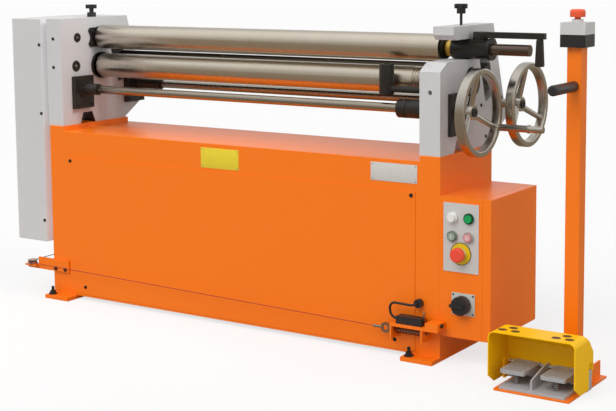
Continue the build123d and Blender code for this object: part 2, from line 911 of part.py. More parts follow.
# Release crank, turning on an upright pin in the housing's seat
hub_low = seat_top + face_gap
hub_high = hub_low + crank_hub_height
bar_low = hub_low + crank_bar_rise
bar_high = bar_low + crank_bar_height
with BuildPart() as release_crank:
    rod_z(crank_x, roll_y, (hub_low, hub_high), crank_hub_radius * 2)
    rod_z(crank_x, roll_y, (pin_low + face_gap, hub_low), crank_pin)
    bar_y = (roll_y - crank_bar_width / 2, roll_y + crank_bar_width / 2)
    block((crank_x, crank_x + crank_reach), bar_y, (bar_low, bar_high))
release_crank.part.label = "release_crank"
export_step(release_crank.part, "parts/release_crank.step")

# Black grip hanging from the crank's end
with BuildPart() as crank_grip:
    grip_x = crank_x + crank_reach - crank_grip_inset
    with Locations((grip_x, roll_y, bar_low)):
        grip_align = (Align.CENTER, Align.CENTER, Align.MAX)
        Cone(crank_grip_diameter / 2, crank_grip_neck / 2, crank_grip_length, align=grip_align)
    chamfer(crank_grip.edges().filter_by(GeomType.CIRCLE), crank_grip_edge)
crank_grip.part.label = "crank_grip"
export_step(crank_grip.part, "parts/crank_grip.step")

# Black flange on the left frame around the upper roll's neck, waisted at the front and the rear
with BuildPart() as neck_flange:
    scallop_y = roll_flange_width / 2 - roll_flange_waist + roll_flange_scallop
    with BuildSketch(Plane.YZ.offset(left_inner)):
        with Locations((roll_y, upper_z)):
            RectangleRounded(roll_flange_width, roll_flange_height, roll_flange_round)
            Circle(roll_flange_hole / 2, mode=Mode.SUBTRACT)
        with Locations((roll_y - scallop_y, upper_z), (roll_y + scallop_y, upper_z)):
            Circle(roll_flange_scallop, mode=Mode.SUBTRACT)
    extrude(amount=roll_flange_thickness)
neck_flange.part.label = "neck_flange"
export_step(neck_flange.part, "parts/neck_flange.step")

# Black boxes and sleeves on the left frame that carry the adjusting shafts
with BuildPart() as left_boxes:
    for shaft_y, tube_length in ((front_shaft_y, sleeve_length), (rear_shaft_y, rear_sleeve_length)):
        shift = shaft_y - front_shaft_y
        box_y = (box_front + shift, box_rear + shift)
        box_x = (left_inner, left_inner + box_thickness)
        block(box_x, box_y, (shaft_z - box_under, shaft_z + box_over))
        rod_x((left_inner, left_inner + tube_length), shaft_y, shaft_z, sleeve_diameter)
        rod_x((box_x[1], box_x[1] + ring_width), shaft_y, shaft_z, ring_diameter)
        bore = (left_inner + shaft_end_inset - face_gap, left_inner + tube_length)
        rod_x(bore, shaft_y, shaft_z, shaft_diameter + 2 * running_fit, Mode.SUBTRACT)
left_boxes.part.label = "left_boxes"
export_step(left_boxes.part, "parts/left_boxes.step")

# Right carriers of the two shafts: a coupling sleeve inside the frame, a plate or flange outside
with BuildPart() as right_carriers:
    sleeve = (right_inner - coupling_length, right_inner)
    rod_x(sleeve, front_shaft_y, shaft_z, coupling_diameter)
    rod_x(right_span, front_shaft_y, shaft_z, through_diameter)
    plate_x = (right_outer, right_outer + outer_plate_thickness)
    plate_z = (shaft_z - outer_plate_under, shaft_z + outer_plate_over)
    block(plate_x, (box_front, box_rear), plate_z)
    ring = (sleeve[0] + coupling_groove, sleeve[0] + coupling_groove + coupling_groove_width)
    with BuildSketch(Plane.YZ.offset(ring[0])):
        with Locations((front_shaft_y, shaft_z)):
            Circle(coupling_diameter / 2)
            Circle(coupling_diameter / 2 - coupling_groove_depth, mode=Mode.SUBTRACT)
    extrude(amount=coupling_groove_width, mode=Mode.SUBTRACT)
    shaft_bore = shaft_diameter + 2 * running_fit
    rod_x((sleeve[0], plate_x[1]), front_shaft_y, shaft_z, shaft_bore, Mode.SUBTRACT)
    rod_x((right_inner - rear_coupling_length, right_inner), rear_shaft_y, shaft_z, coupling_diameter)
    rod_x(right_span, rear_shaft_y, shaft_z, through_diameter)
    flange_end = right_outer + rear_flange_thickness
    rod_x((right_outer, flange_end), rear_shaft_y, shaft_z, coupling_diameter)
    rear_bore = (right_inner - rear_coupling_length, flange_end)
    rod_x(rear_bore, rear_shaft_y, shaft_z, shaft_bore, Mode.SUBTRACT)
right_carriers.part.label = "right_carriers"
export_step(right_carriers.part, "parts/right_carriers.step")

# Adjusting shafts
front_rim_x = right_outer + front_wheel_reach
rear_rim_x = right_outer + rear_wheel_reach
with BuildPart() as front_shaft:
    front_shaft_span = (left_inner + shaft_end_inset, front_rim_x - wheel_dish)
    rod_x(front_shaft_span, front_shaft_y, shaft_z, shaft_diameter)
front_shaft.part.label = "front_shaft"
export_step(front_shaft.part, "parts/front_shaft.step")
with BuildPart() as rear_shaft:
    rear_shaft_span = (left_inner + shaft_end_inset, rear_rim_x - wheel_dish)
    rod_x(rear_shaft_span, rear_shaft_y, shaft_z, shaft_diameter)
rear_shaft.part.label = "rear_shaft"
export_step(rear_shaft.part, "parts/rear_shaft.step")


def handwheel(y, rim_x):
    """Dished handwheel: hub, three tapered spokes and a flat rim with rounded edges."""
    hub = (rim_x - wheel_dish - wheel_hub_length, rim_x - wheel_dish)
    rim_radius = (wheel_diameter - rim_depth) / 2
    rod_x(hub, y, shaft_z, wheel_hub_diameter)
    hub_middle = (hub[0] + hub[1]) / 2
    for spoke in range(spoke_count):
        angle = math.radians(spoke_angle + spoke * 360 / spoke_count)
        direction = (rim_x - hub_middle, rim_radius * math.cos(angle), rim_radius * math.sin(angle))
        start = Plane(origin=(hub_middle, y, shaft_z), z_dir=direction)
        spoke_length = math.hypot(*direction) - rim_depth / 4
        with Locations(start.location):
            spoke_align = (Align.CENTER, Align.CENTER, Align.MIN)
            Cone(spoke_root / 2, spoke_tip / 2, spoke_length, align=spoke_align)
    rim_plane = Plane(origin=(rim_x, y, shaft_z), x_dir=(0, 1, 0), z_dir=(0, 0, -1))
    with BuildSketch(rim_plane) as rim_section:
        with Locations((rim_radius, 0)):
            RectangleRounded(rim_depth, rim_width, rim_edge)
    revolve(rim_section.sketch, axis=Axis((rim_x, y, shaft_z), (1, 0, 0)))
    rod_x(hub, y, shaft_z, shaft_diameter, Mode.SUBTRACT)


# Front handwheel with the pin of its crank handle
handle_angle = math.radians(spoke_angle)
handle_radius = (wheel_diameter - rim_depth) / 2 - handle_inset
handle_y = front_shaft_y + handle_radius * math.cos(handle_angle)
handle_z = shaft_z + handle_radius * math.sin(handle_angle)
handle_left = front_rim_x + rim_width / 2 + handle_gap
handle_ring_x = handle_left + handle_sleeve
handle_tip_x = handle_ring_x + handle_ring
handle_right = handle_tip_x + handle_tip
with BuildPart() as front_handwheel:
    pin_right = handle_right - handle_cap - handle_pin_gap
    rod_x((front_rim_x, pin_right), handle_y, handle_z, handle_pin)
    handwheel(front_shaft_y, front_rim_x)
front_handwheel.part.label = "front_handwheel"
export_step(front_handwheel.part, "parts/front_handwheel.step")
with BuildPart() as rear_handwheel:
    handwheel(rear_shaft_y, rear_rim_x)
rear_handwheel.part.label = "rear_handwheel"
export_step(rear_handwheel.part, "parts/rear_handwheel.step")

# Turning steel handle on the front handwheel's pin
with BuildPart() as wheel_handle:
    rod_x((handle_left, handle_ring_x), handle_y, handle_z, handle_diameter)
    rod_x((handle_ring_x, handle_tip_x), handle_y, handle_z, handle_ring_diameter)
    rod_x((handle_tip_x, handle_right), handle_y, handle_z, handle_tip_diameter)
    pin_room = (handle_left, handle_right - handle_cap)
    rod_x(pin_room, handle_y, handle_z, handle_pin + 2 * running_fit, Mode.SUBTRACT)
wheel_handle.part.label = "wheel_handle"
export_step(wheel_handle.part, "parts/wheel_handle.step")


def star_knob(x, stem_low, boss, boss_low, head_low):
    """Clamping knob: screw stem, boss and lobed head."""
    rod_z(x, roll_y, (stem_low, head_low), knob_stem)
    rod_z(x, roll_y, (boss_low, head_low), boss)
    head = (head_low, head_low + knob_head_height)
    rod_z(x, roll_y, head, knob_core * 2)
    for lobe in range(knob_lobes):
        turn = 2 * math.pi * lobe / knob_lobes
        lobe_x = x + knob_lobe_circle * math.cos(turn)
        lobe_y = roll_y + knob_lobe_circle * math.sin(turn)
        rod_z(lobe_x, lobe_y, head, knob_lobe_radius * 2)


# Clamping knobs on top of the two frames
with BuildPart() as left_knob:
    left_foot = (frame_high + face_gap, frame_high + left_knob_foot_height)
    left_head = left_foot[1] + left_knob_neck_height
    star_knob(left_middle, frame_high - left_stem_depth, left_knob_neck, left_foot[1], left_head)
    rod_z(left_middle, roll_y, left_foot, left_knob_foot)
left_knob.part.label = "left_knob"
export_step(left_knob.part, "parts/left_knob.step")
with BuildPart() as right_knob:
    right_boss = frame_high + right_knob_rise
    right_head = right_boss + right_knob_boss_height
    right_stem = throat_ceiling + right_stem_gap
    star_knob(right_middle, right_stem, right_knob_boss, right_boss, right_head)
right_knob.part.label = "right_knob"
export_step(right_knob.part, "parts/right_knob.step")

# Black post that guides the plate's edge for bending cones, on an arm from the right frame
with BuildPart() as cone_post:
    post_high = upper_z - roll_diameter / 2 - post_under_roll
    post_low = upper_z - post_drop
    rod_z(post_x, post_y, (post_low, post_high), post_diameter)
    chamfer(cone_post.edges().filter_by(GeomType.CIRCLE), post_chamfer)
    rod_x((post_x, right_inner), post_y, post_low + post_arm_rise, post_arm)
cone_post.part.label = "cone_post"
export_step(cone_post.part, "parts/cone_post.step")

# Sheet box of the electrical cabinet, open to the right
cabinet_left = base_right
cabinet_seam = cabinet_left + cabinet_width
cabinet_right = cabinet_seam + cabinet_cover_width
cabinet_y = (base_front, cabinet_rear)
cabinet_z = (cabinet_low, cabinet_high)
cabinet_inner_y = (base_front + cabinet_wall, cabinet_rear - cabinet_wall)
cabinet_inner_z = (cabinet_low + cabinet_wall, cabinet_high - cabinet_wall)
front_wall = (base_front, base_front + cabinet_wall)
plate_front = base_front - plate_thickness
button_places = (start_place, on_place, off_place)
with BuildPart() as electrical_cabinet:
    block((cabinet_left, cabinet_seam), cabinet_y, cabinet_z)
    block((cabinet_left + cabinet_wall, cabinet_seam), cabinet_inner_y, cabinet_inner_z, Mode.SUBTRACT)
    for place in button_places:
        stem_room = button_stem + 2 * slide_fit
        rod_y(cabinet_left + place[0], front_wall, place[1], stem_room, Mode.SUBTRACT)
    stop_room = stop_stem + 2 * slide_fit
    rod_y(cabinet_left + stop_place[0], front_wall, stop_place[1], stop_room, Mode.SUBTRACT)
    switch_room = button_stem + 2 * running_fit
    rod_y(cabinet_left + switch_place[0], front_wall, switch_place[1], switch_room, Mode.SUBTRACT)
electrical_cabinet.part.label = "electrical_cabinet"
export_step(electrical_cabinet.part, "parts/electrical_cabinet.step")

# Tray-shaped cover screwed on the cabinet's open side
with BuildPart() as cabinet_cover:
    block((cabinet_seam, cabinet_right), cabinet_y, cabinet_z)
    tray = (cabinet_seam, cabinet_right - cabinet_wall)
    block(tray, cabinet_inner_y, cabinet_inner_z, Mode.SUBTRACT)
cabinet_cover.part.label = "cabinet_cover"
export_step(cabinet_cover.part, "parts/cabinet_cover.step")

# Mounting plate inside the cabinet with its contactors and terminal strip
with BuildPart() as contactor_plate:
    plate_x = (cabinet_left + cabinet_wall, cabinet_left + cabinet_wall + mounting_plate)
    plate_y = (cabinet_inner_y[0] + 2 * mounting_margin, cabinet_inner_y[1] - mounting_margin)
    block(plate_x, plate_y, (cabinet_low + mounting_margin, cabinet_high - mounting_margin))
    device_x = (plate_x[1], plate_x[1] + contactor_depth)
    for place in range(contactor_count):
        device_y = plate_y[0] + mounting_margin + place * contactor_step
        device_z = (contactor_z, contactor_z + contactor_height)
        block(device_x, (device_y, device_y + contactor_width), device_z)
    strip_x = (plate_x[1], plate_x[1] + terminal_height)
    block(strip_x, plate_y, (terminal_z, terminal_z + terminal_height))
contactor_plate.part.label = "contactor_plate"
export_step(contactor_plate.part, "parts/contactor_plate.step")

# Control plate with the round bezels that guide the buttons
with BuildPart() as control_plate:
    control_x = (cabinet_left + plate_left, cabinet_left + plate_right)
    block(control_x, (plate_front, base_front), (plate_low, plate_high))
    for place in button_places:
        button_x = cabinet_left + place[0]
        rod_y(button_x, (plate_front - bezel_height, plate_front), place[1], bezel_diameter)
        guide = button_diameter + 2 * slide_fit
        rod_y(button_x, (plate_front - bezel_height, plate_front), place[1], guide, Mode.SUBTRACT)
        rod_y(button_x, (plate_front, base_front), place[1], stem_room, Mode.SUBTRACT)
    stop_x = cabinet_left + stop_place[0]
    rod_y(stop_x, (plate_front - stop_neck_height, plate_front), stop_place[1], stop_neck)
    rod_y(stop_x, (plate_front - stop_neck_height, base_front), stop_place[1], stop_room, Mode.SUBTRACT)
control_plate.part.label = "control_plate"
export_step(control_plate.part, "parts/control_plate.step")

# Pilot lamp on the control plate
with BuildPart() as pilot_lamp:
    lamp_x = cabinet_left + lamp_place[0]
    rod_y(lamp_x, (plate_front - bezel_height, plate_front), lamp_place[1], bezel_diameter)
    rod_y(lamp_x, (plate_front - lamp_length, plate_front), lamp_place[1], lamp_diameter)
pilot_lamp.part.label = "pilot_lamp"
export_step(pilot_lamp.part, "parts/pilot_lamp.step")


def push_button(place):
    """Push button: cap in front of the plate, stem through it."""
    x = cabinet_left + place[0]
    cap_rear = plate_front - button_rest
    rod_y(x, (cap_rear - button_length, cap_rear), place[1], button_diameter)
    rod_y(x, (cap_rear, cap_rear + button_stem_length), place[1], button_stem)


# Three push buttons
with BuildPart() as start_button:
    push_button(start_place)
start_button.part.label = "start_button"
export_step(start_button.part, "parts/start_button.step")
with BuildPart() as on_button:
    push_button(on_place)
on_button.part.label = "on_button"
export_step(on_button.part, "parts/on_button.step")
with BuildPart() as off_button:
    push_button(off_place)
off_button.part.label = "off_button"
export_step(off_button.part, "parts/off_button.step")

# Red stop mushroom on the control plate
with BuildPart() as stop_mushroom:
    head_rear = plate_front - stop_neck_height - stop_head_rest
    rod_y(stop_x, (head_rear - stop_head_length, head_rear), stop_place[1], stop_head)
    fillet(stop_mushroom.edges().group_by(Axis.Y)[0], stop_head_length / 3)
    rod_y(stop_x, (head_rear, head_rear + stop_stem_length), stop_place[1], stop_stem)
stop_mushroom.part.label = "stop_mushroom"
export_step(stop_mushroom.part, "parts/stop_mushroom.step")

# Rotary main switch knob with its grip bar
with BuildPart() as main_switch_knob:
    switch_x = cabinet_left + switch_place[0]
    knob_rear = base_front - switch_gap
    knob_face = knob_rear - switch_length
    rod_y(switch_x, (knob_face, knob_rear), switch_place[1], switch_diameter)
    rod_y(switch_x, (knob_rear, base_front + button_stem), switch_place[1], button_stem)
    half_bar = switch_bar_length / 2
    bar_z = (switch_place[1] - switch_bar_width / 2, switch_place[1] + switch_bar_width / 2)
    bar_depth = (knob_face - switch_bar_height, knob_face)
    block((switch_x - half_bar, switch_x + half_bar / 2), bar_depth, bar_z)
main_switch_knob.part.label = "main_switch_knob"
export_step(main_switch_knob.part, "parts/main_switch_knob.step")

# Pulley that turns the trip wire from the front to the left side
pulley_x = base_left - pulley_reach
wire_radius = pulley_groove_radius + wire_gap + wire_diameter / 2
pulley_y = wire_y + wire_radius
half_pulley = pulley_height / 2
with BuildPart() as trip_pulley:
    rod_z(pulley_x, pulley_y, (pulley_z - half_pulley, pulley_z + half_pulley), pulley_diameter)
    groove_origin = (pulley_x, pulley_y, pulley_z)
    with BuildSketch(Plane(origin=groove_origin, x_dir=(1, 0, 0), z_dir=(0, -1, 0))):
        with BuildLine():
            Polyline(
                (pulley_groove_radius, -wire_diameter),
                (pulley_diameter / 2, -half_pulley + wire_diameter / 2),
                (pulley_diameter / 2, half_pulley - wire_diameter / 2),
                (pulley_groove_radius, wire_diameter),
                close=True,
            )
        make_face()
    revolve(axis=Axis(groove_origin, (0, 0, 1)), mode=Mode.SUBTRACT)
    pulley_bore = pulley_pin + 2 * running_fit
    rod_z(pulley_x, pulley_y, (pulley_z - half_pulley, pulley_z + half_pulley), pulley_bore, Mode.SUBTRACT)
trip_pulley.part.label = "trip_pulley"
export_step(trip_pulley.part, "parts/trip_pulley.step")

# Left brackets: the front one carries the pulley, the rear one holds the wire's end
shelf_top = pulley_z - half_pulley - face_gap
with BuildPart() as left_brackets:
    flange_y = (base_front - shelf_thickness, base_front)
    flange_right = panel_left - trip_flange_gap
    block((pulley_x - shelf_half, flange_right), flange_y, (trip_flange_low, trip_flange_high))
    shelf_x = (pulley_x - shelf_half, pulley_x + shelf_half)
    shelf_y = (pulley_y - shelf_half / 2, base_front)
    block(shelf_x, shelf_y, (shelf_top - shelf_thickness, shelf_top))
    block(shelf_x, flange_y, (shelf_top, trip_flange_high), Mode.SUBTRACT)
    rod_z(pulley_x, pulley_y, (shelf_top, pulley_z + half_pulley + face_gap), pulley_pin)
    arm_y = (wire_rear, wire_rear + rear_arm_depth)
    block((pulley_x - shelf_half, base_left), arm_y, (trip_flange_low, trip_flange_high))
left_brackets.part.label = "left_brackets"
export_step(left_brackets.part, "parts/left_brackets.step")

# Trip wire, from the crimp at the right to the pulley and back along the left side
eye_x = base_right - eye_inset
crimp_right = eye_x - eye_diameter / 2
crimp_left = crimp_right - crimp_length
wire_end = crimp_left + crimp_room
wire_corner = (pulley_x - wire_radius, wire_y, pulley_z)
with BuildPart() as trip_wire:
    with BuildLine() as wire_path:
        FilletPolyline(
            (wire_end, wire_y, eye_z),
            (crimp_left - crimp_length, wire_y, eye_z + wire_gap),
            wire_corner,
            (wire_corner[0], wire_rear, pulley_z),
            radius=wire_radius,
        )
    with BuildSketch(Plane(origin=wire_path.line @ 0, z_dir=wire_path.line % 0)):
        Circle(wire_diameter / 2)
    sweep(path=wire_path.line)
trip_wire.part.label = "trip_wire"
export_step(trip_wire.part, "parts/trip_wire.step")

# Right bracket: two upright flanges, the top plate with its front lip, and a raised step
bracket_x = (base_right - bracket_left, base_right + bracket_right)
bracket_rear = base_front - panel_thickness
bracket_y = (bracket_front, bracket_rear)
plate_low_z = bracket_top - bracket_thickness
left_flange_x = (bracket_x[0], bracket_x[0] + bracket_thickness)
mid_flange_x = (base_right - mid_flange, base_right - mid_flange + bracket_thickness)
rod_room = pull_rod_diameter + 2 * slide_fit
with BuildPart() as right_bracket:
    block(bracket_x, bracket_y, (plate_low_z, bracket_top))
    lip_y = (bracket_front, bracket_front + bracket_lip_thickness)
    block(bracket_x, lip_y, (bracket_top - bracket_lip, bracket_top))
    for flange in (left_flange_x, mid_flange_x):
        block(flange, bracket_y, (bracket_low, plate_low_z))
        rod_x(flange, wire_y, eye_z, rod_room, Mode.SUBTRACT)
    step_x = (bracket_x[1] - step_width, bracket_x[1])
    block(step_x, bracket_y, (bracket_top, bracket_top + step_height))
    pad_x = (panel_right, base_right)
    block(pad_x, (bracket_rear, base_front), (plate_low_z, bracket_top))
right_bracket.part.label = "right_bracket"
export_step(right_bracket.part, "parts/right_bracket.step")

# Eye, crimp sleeve and pull rod, drawn to the left when the wire is kicked
nut_right = mid_flange_x[0] - face_gap
nut_left = nut_right - nut_thickness
with BuildPart() as trip_eye:
    eye_y = (wire_y - eye_thickness / 2, wire_y + eye_thickness / 2)
    rod_y(eye_x, eye_y, eye_z, eye_diameter)
    rod_y(eye_x, eye_y, eye_z, eye_hole, Mode.SUBTRACT)
    overlap = (eye_diameter - eye_hole) / 4
    rod_x((crimp_left, crimp_right + overlap), wire_y, eye_z, crimp_diameter)
    wire_room = (crimp_left, crimp_left + crimp_room + trip_travel + crimp_room)
    rod_x(wire_room, wire_y, eye_z, wire_diameter + 4 * slide_fit, Mode.SUBTRACT)
    rod_left = eye_x + eye_diameter / 2 - overlap
    rod_x((rod_left, mid_flange_x[1] + nut_thickness), wire_y, eye_z, pull_rod_diameter)
    with BuildSketch(Plane.YZ.offset(nut_left)):
        with Locations((wire_y, eye_z)):
            RegularPolygon(nut_width / 2, 6)
    extrude(amount=nut_thickness)
trip_eye.part.label = "trip_eye"
export_step(trip_eye.part, "parts/trip_eye.step")

# Coil spring between the left flange and the nut
spring_left = left_flange_x[1] + spring_left_gap
spring_right = nut_left - spring_left_gap
spring_radius = (spring_diameter - spring_wire) / 2
with BuildPart() as trip_spring:
    coil_length = spring_right - spring_left - spring_wire
    coil_start = (spring_left + spring_wire / 2, wire_y, eye_z)
    with BuildLine() as coil:
        Helix(
            coil_length / spring_turns,
            coil_length,
            spring_radius,
            center=coil_start,
            direction=(1, 0, 0),
        )
    with BuildSketch(Plane(origin=coil.line @ 0, z_dir=coil.line % 0)):
        RegularPolygon(spring_wire / 2, 6)
    sweep(path=coil.line, is_frenet=True)
trip_spring.part.label = "trip_spring"
export_step(trip_spring.part, "parts/trip_spring.step")

# Limit switch on the bracket, with its lever shaft's bore
limit_x = (base_right - limit_left, base_right - limit_left + limit_length)
limit_y = (wire_y - limit_depth / 2, wire_y + limit_depth / 2)
limit_z = (bracket_top, bracket_top + limit_height)
lever_z = bracket_top + limit_height / 2
with BuildPart() as limit_switch:
    block(limit_x, limit_y, limit_z)
    pin_span = (limit_x[1] - lever_pin_depth - face_gap, limit_x[1])
    rod_x(pin_span, wire_y, lever_z, lever_pin + 2 * running_fit, Mode.SUBTRACT)
limit_switch.part.label = "limit_switch"
export_step(limit_switch.part, "parts/limit_switch.step")

# Lever of the limit switch
with BuildPart() as switch_lever:
    lever_x = (limit_x[1] + face_gap, limit_x[1] + face_gap + lever_thickness)
    rod_x((limit_x[1] - lever_pin_depth, lever_x[1]), wire_y, lever_z, lever_pin)
    lever_y = (wire_y - lever_width / 2, wire_y + lever_width / 2)
    block(lever_x, lever_y, (lever_z - lever_width / 2, lever_z + lever_length))
    rod_x(lever_x, wire_y, lever_z + lever_length, lever_width)
switch_lever.part.label = "switch_lever"
export_step(switch_lever.part, "parts/switch_lever.step")

# Lead of the limit switch, looping back to its domed gland on the base
lead_start = (limit_x[0], wire_y, lever_z)
lead_points = [
    lead_start,
    (base_right - lead_left, wire_y, lever_z),
    (base_right - lead_left, (wire_y + lead_front) / 2, gland_z),
    (gland_x, lead_front, gland_z),
    (gland_x, base_front - gland_height, gland_z),
]
with BuildPart() as switch_lead:
    with BuildLine() as lead_path:
        FilletPolyline(*lead_points, radius=lead_bends)
    with BuildSketch(Plane(origin=lead_path.line @ 0, z_dir=lead_path.line % 0)):
        Circle(lead_diameter / 2)
    sweep(path=lead_path.line)
    gland_y = (base_front - gland_height, base_front)
    rod_y(gland_x, gland_y, gland_z, gland_diameter)
switch_lead.part.label = "switch_lead"
export_step(switch_lead.part, "parts/switch_lead.step")

# Floor plate and channel of the pedal stand
stand_x = (base_right + stand_left, base_right + stand_left + stand_width)
with BuildPart() as stand_base:
    block(stand_x, (stand_front, stand_rear), (0, stand_thickness))
    channel_x = (stand_x[0] + channel_left, stand_x[0] + channel_left + channel_width)
    channel_y = (channel_front, channel_rear)
    floor_top = stand_thickness + channel_wall
    block(channel_x, channel_y, (stand_thickness, floor_top))
    for wall_left in (channel_x[0], channel_x[1] - channel_wall):
        wall_x = (wall_left, wall_left + channel_wall)
        block(wall_x, channel_y, (stand_thickness, stand_thickness + channel_height))
stand_base.part.label = "stand_base"
export_step(stand_base.part, "parts/stand_base.step")

# Square tube column of the stand
column_x = (stand_x[0] + column_left, stand_x[0] + column_left + column_size)
column_y = (column_front, column_front + column_size)
with BuildPart() as stand_column:
    block(column_x, column_y, (floor_top, column_high))
    column_inner_x = (column_x[0] + column_wall, column_x[1] - column_wall)
    column_inner_y = (column_y[0] + column_wall, column_y[1] - column_wall)
    block(column_inner_x, column_inner_y, (floor_top, column_high), Mode.SUBTRACT)
stand_column.part.label = "stand_column"
export_step(stand_column.part, "parts/stand_column.step")

# Pedal base: floor plate, cross bar with two cheeks, centre rib and the pedals' hinge pin
guard_x = (base_right + guard_left, base_right + guard_left + guard_width)
inside_x = (guard_x[0] + guard_wall, guard_x[1] - guard_wall)
guard_middle = (guard_x[0] + guard_x[1]) / 2
pedal_floor = stand_thickness + pedal_base_height
pedal_base_front = stand_front + pedal_base_margin
pedal_base_rear = guard_rear - guard_wall - pedal_base_gap
with BuildPart() as pedal_base:
    pedal_plate_x = (stand_x[0] + pedal_base_inset, stand_x[1] - pedal_base_inset)
    block(pedal_plate_x, (pedal_base_front, pedal_base_rear), (stand_thickness, pedal_floor))
    bar_y = (pedal_base_rear - pedal_bar_depth, pedal_base_rear)
    block(inside_x, bar_y, (stand_thickness, stand_thickness + pedal_bar_height))
    cheek_y = (pedal_base_rear - pedal_cheek_depth, pedal_base_rear)
    left_cheek = (inside_x[0], inside_x[0] + pedal_cheek_width)
    right_cheek = (inside_x[1] - pedal_cheek_width, inside_x[1])
    for cheek_x in (left_cheek, right_cheek):
        block(cheek_x, cheek_y, (stand_thickness, pedal_cheek_high))
    rib_x = (guard_middle - pedal_rib_width / 2, guard_middle + pedal_rib_width / 2)
    rib_side = [
        (pedal_base_front + pedal_rib_margin, stand_thickness),
        (pedal_base_front + pedal_rib_margin, pedal_rib_front_high),
        (cheek_y[0], pedal_cheek_high),
        (pedal_base_rear, pedal_cheek_high),
        (pedal_base_rear, stand_thickness),
    ]
    sheet_x(rib_side, rib_x)
    rod_x(inside_x, pedal_pivot_y, pedal_pivot_z, pedal_pin)
pedal_base.part.label = "pedal_base"
export_step(pedal_base.part, "parts/pedal_base.step")


def foot_pedal(middle):
    """Foot pedal: plate with a barrel on the hinge pin and a skirt under each side."""
    x = (middle - pedal_width / 2, middle + pedal_width / 2)
    block(x, (pedal_front, pedal_pivot_y), (pedal_low, pedal_high))
    skirt_side = [
        (pedal_skirt_front, pedal_low),
        (pedal_pivot_y, pedal_low),
        (pedal_pivot_y, pedal_skirt_low),
        (pedal_skirt_front + pedal_skirt_slope, pedal_skirt_low),
    ]
    for skirt_left in (x[0], x[1] - pedal_skirt_width):
        sheet_x(skirt_side, (skirt_left, skirt_left + pedal_skirt_width))
    rod_x(x, pedal_pivot_y, pedal_pivot_z, pedal_barrel)
    rod_x(x, pedal_pivot_y, pedal_pivot_z, pedal_pin + 2 * running_fit, Mode.SUBTRACT)


# The two pedals
with BuildPart() as left_pedal:
    foot_pedal(guard_middle - pedal_offset)
    corners = left_pedal.edges().filter_by(Axis.Z).group_by(Axis.Y)[0]
    fillet(corners, pedal_round)
left_pedal.part.label = "left_pedal"
export_step(left_pedal.part, "parts/left_pedal.step")
with BuildPart() as right_pedal:
    foot_pedal(guard_middle + pedal_offset)
    corners = right_pedal.edges().filter_by(Axis.Z).group_by(Axis.Y)[0]
    fillet(corners, pedal_round)
right_pedal.part.label = "right_pedal"
export_step(right_pedal.part, "parts/right_pedal.step")


def guard_form(wall):
    """Hood with rounded long edges and a sloping rear."""
    width = guard_width - 2 * wall
    height = 2 * (guard_high - wall - guard_low)
    with BuildSketch(Plane.XZ.offset(-guard_rear)) as section:
        with Locations((guard_middle, guard_low)):
            RectangleRounded(width, height, guard_round - wall)
    extrude(section.sketch, amount=guard_rear - guard_front)
    side = [
        (guard_front, guard_low),
        (guard_front, guard_high),
        (guard_rear - guard_slope_depth - wall / 2, guard_high),
        (guard_rear - wall, guard_high - guard_slope_height),
        (guard_rear - wall, guard_low),
    ]
    sheet_x(side, guard_x, Mode.INTERSECT)


# Space under the guard
with BuildPart() as guard_inside:
    guard_form(guard_wall)

# Yellow sheet guard over the pedals
with BuildPart() as pedal_guard:
    guard_form(0)
    add(guard_inside.part, mode=Mode.SUBTRACT)
    front_cut = [
        (guard_front, guard_low),
        (guard_front + guard_cut_depth, guard_low),
        (guard_front, guard_low + guard_cut_height),
    ]
    sheet_x(front_cut, guard_x, Mode.SUBTRACT)
    step_front = guard_rear - guard_step_depth
    block(guard_x, (step_front, guard_rear - guard_wall), (guard_low, guard_step_z), Mode.SUBTRACT)
    block(guard_x, (step_front, guard_rear), (guard_low, guard_rear_low), Mode.SUBTRACT)
    slot_y = guard_front + guard_slot_front
    with BuildSketch(Plane.XY.offset(guard_high - 2 * guard_wall)):
        for slot_x in (guard_x[0] + guard_slot_inset, guard_x[1] - guard_slot_inset):
            with Locations(
                (slot_x - guard_slot_spread, slot_y),
                (slot_x + guard_slot_spread, slot_y),
                (slot_x, slot_y + guard_slot_step),
            ):
                SlotOverall(guard_slot_length, guard_slot_width)
    extrude(amount=2 * guard_wall, mode=Mode.SUBTRACT)
pedal_guard.part.label = "pedal_guard"
export_step(pedal_guard.part, "parts/pedal_guard.step")

# Stop switch box on top of the column
column_middle_x = (column_x[0] + column_x[1]) / 2
column_middle_y = (column_y[0] + column_y[1]) / 2
box_half = stand_box_size / 2
stand_box_high = column_high + stand_box_height
with BuildPart() as stand_switch_box:
    block(
        (column_middle_x - box_half, column_middle_x + box_half),
        (column_middle_y - box_half, column_middle_y + box_half),
        (column_high, stand_box_high),
    )
    fillet(stand_switch_box.edges().filter_by(Axis.Z), stand_box_round)
    neck_z = (stand_box_high, stand_box_high + stand_neck_height)
    rod_z(column_middle_x, column_middle_y, neck_z, stand_neck)
    stem_z = (stand_box_high - stand_stem_depth - stand_stem_depth / 2, neck_z[1])
    rod_z(column_middle_x, column_middle_y, stem_z, stop_room, Mode.SUBTRACT)
stand_switch_box.part.label = "stand_switch_box"
export_step(stand_switch_box.part, "parts/stand_switch_box.step")

# Red mushroom of the stand's stop switch
with BuildPart() as stand_mushroom:
    head_z = (stand_box_high + stand_head_low, stand_box_high + stand_head_low + stand_head_height)
    rod_z(column_middle_x, column_middle_y, head_z, stand_head)
    fillet(stand_mushroom.edges().group_by(Axis.Z)[-1], stand_head_height / 3)
    rod_z(column_middle_x, column_middle_y, (stand_box_high - stand_stem_depth, head_z[0]), stop_stem)
stand_mushroom.part.label = "stand_mushroom"
export_step(stand_mushroom.part, "parts/stand_mushroom.step")

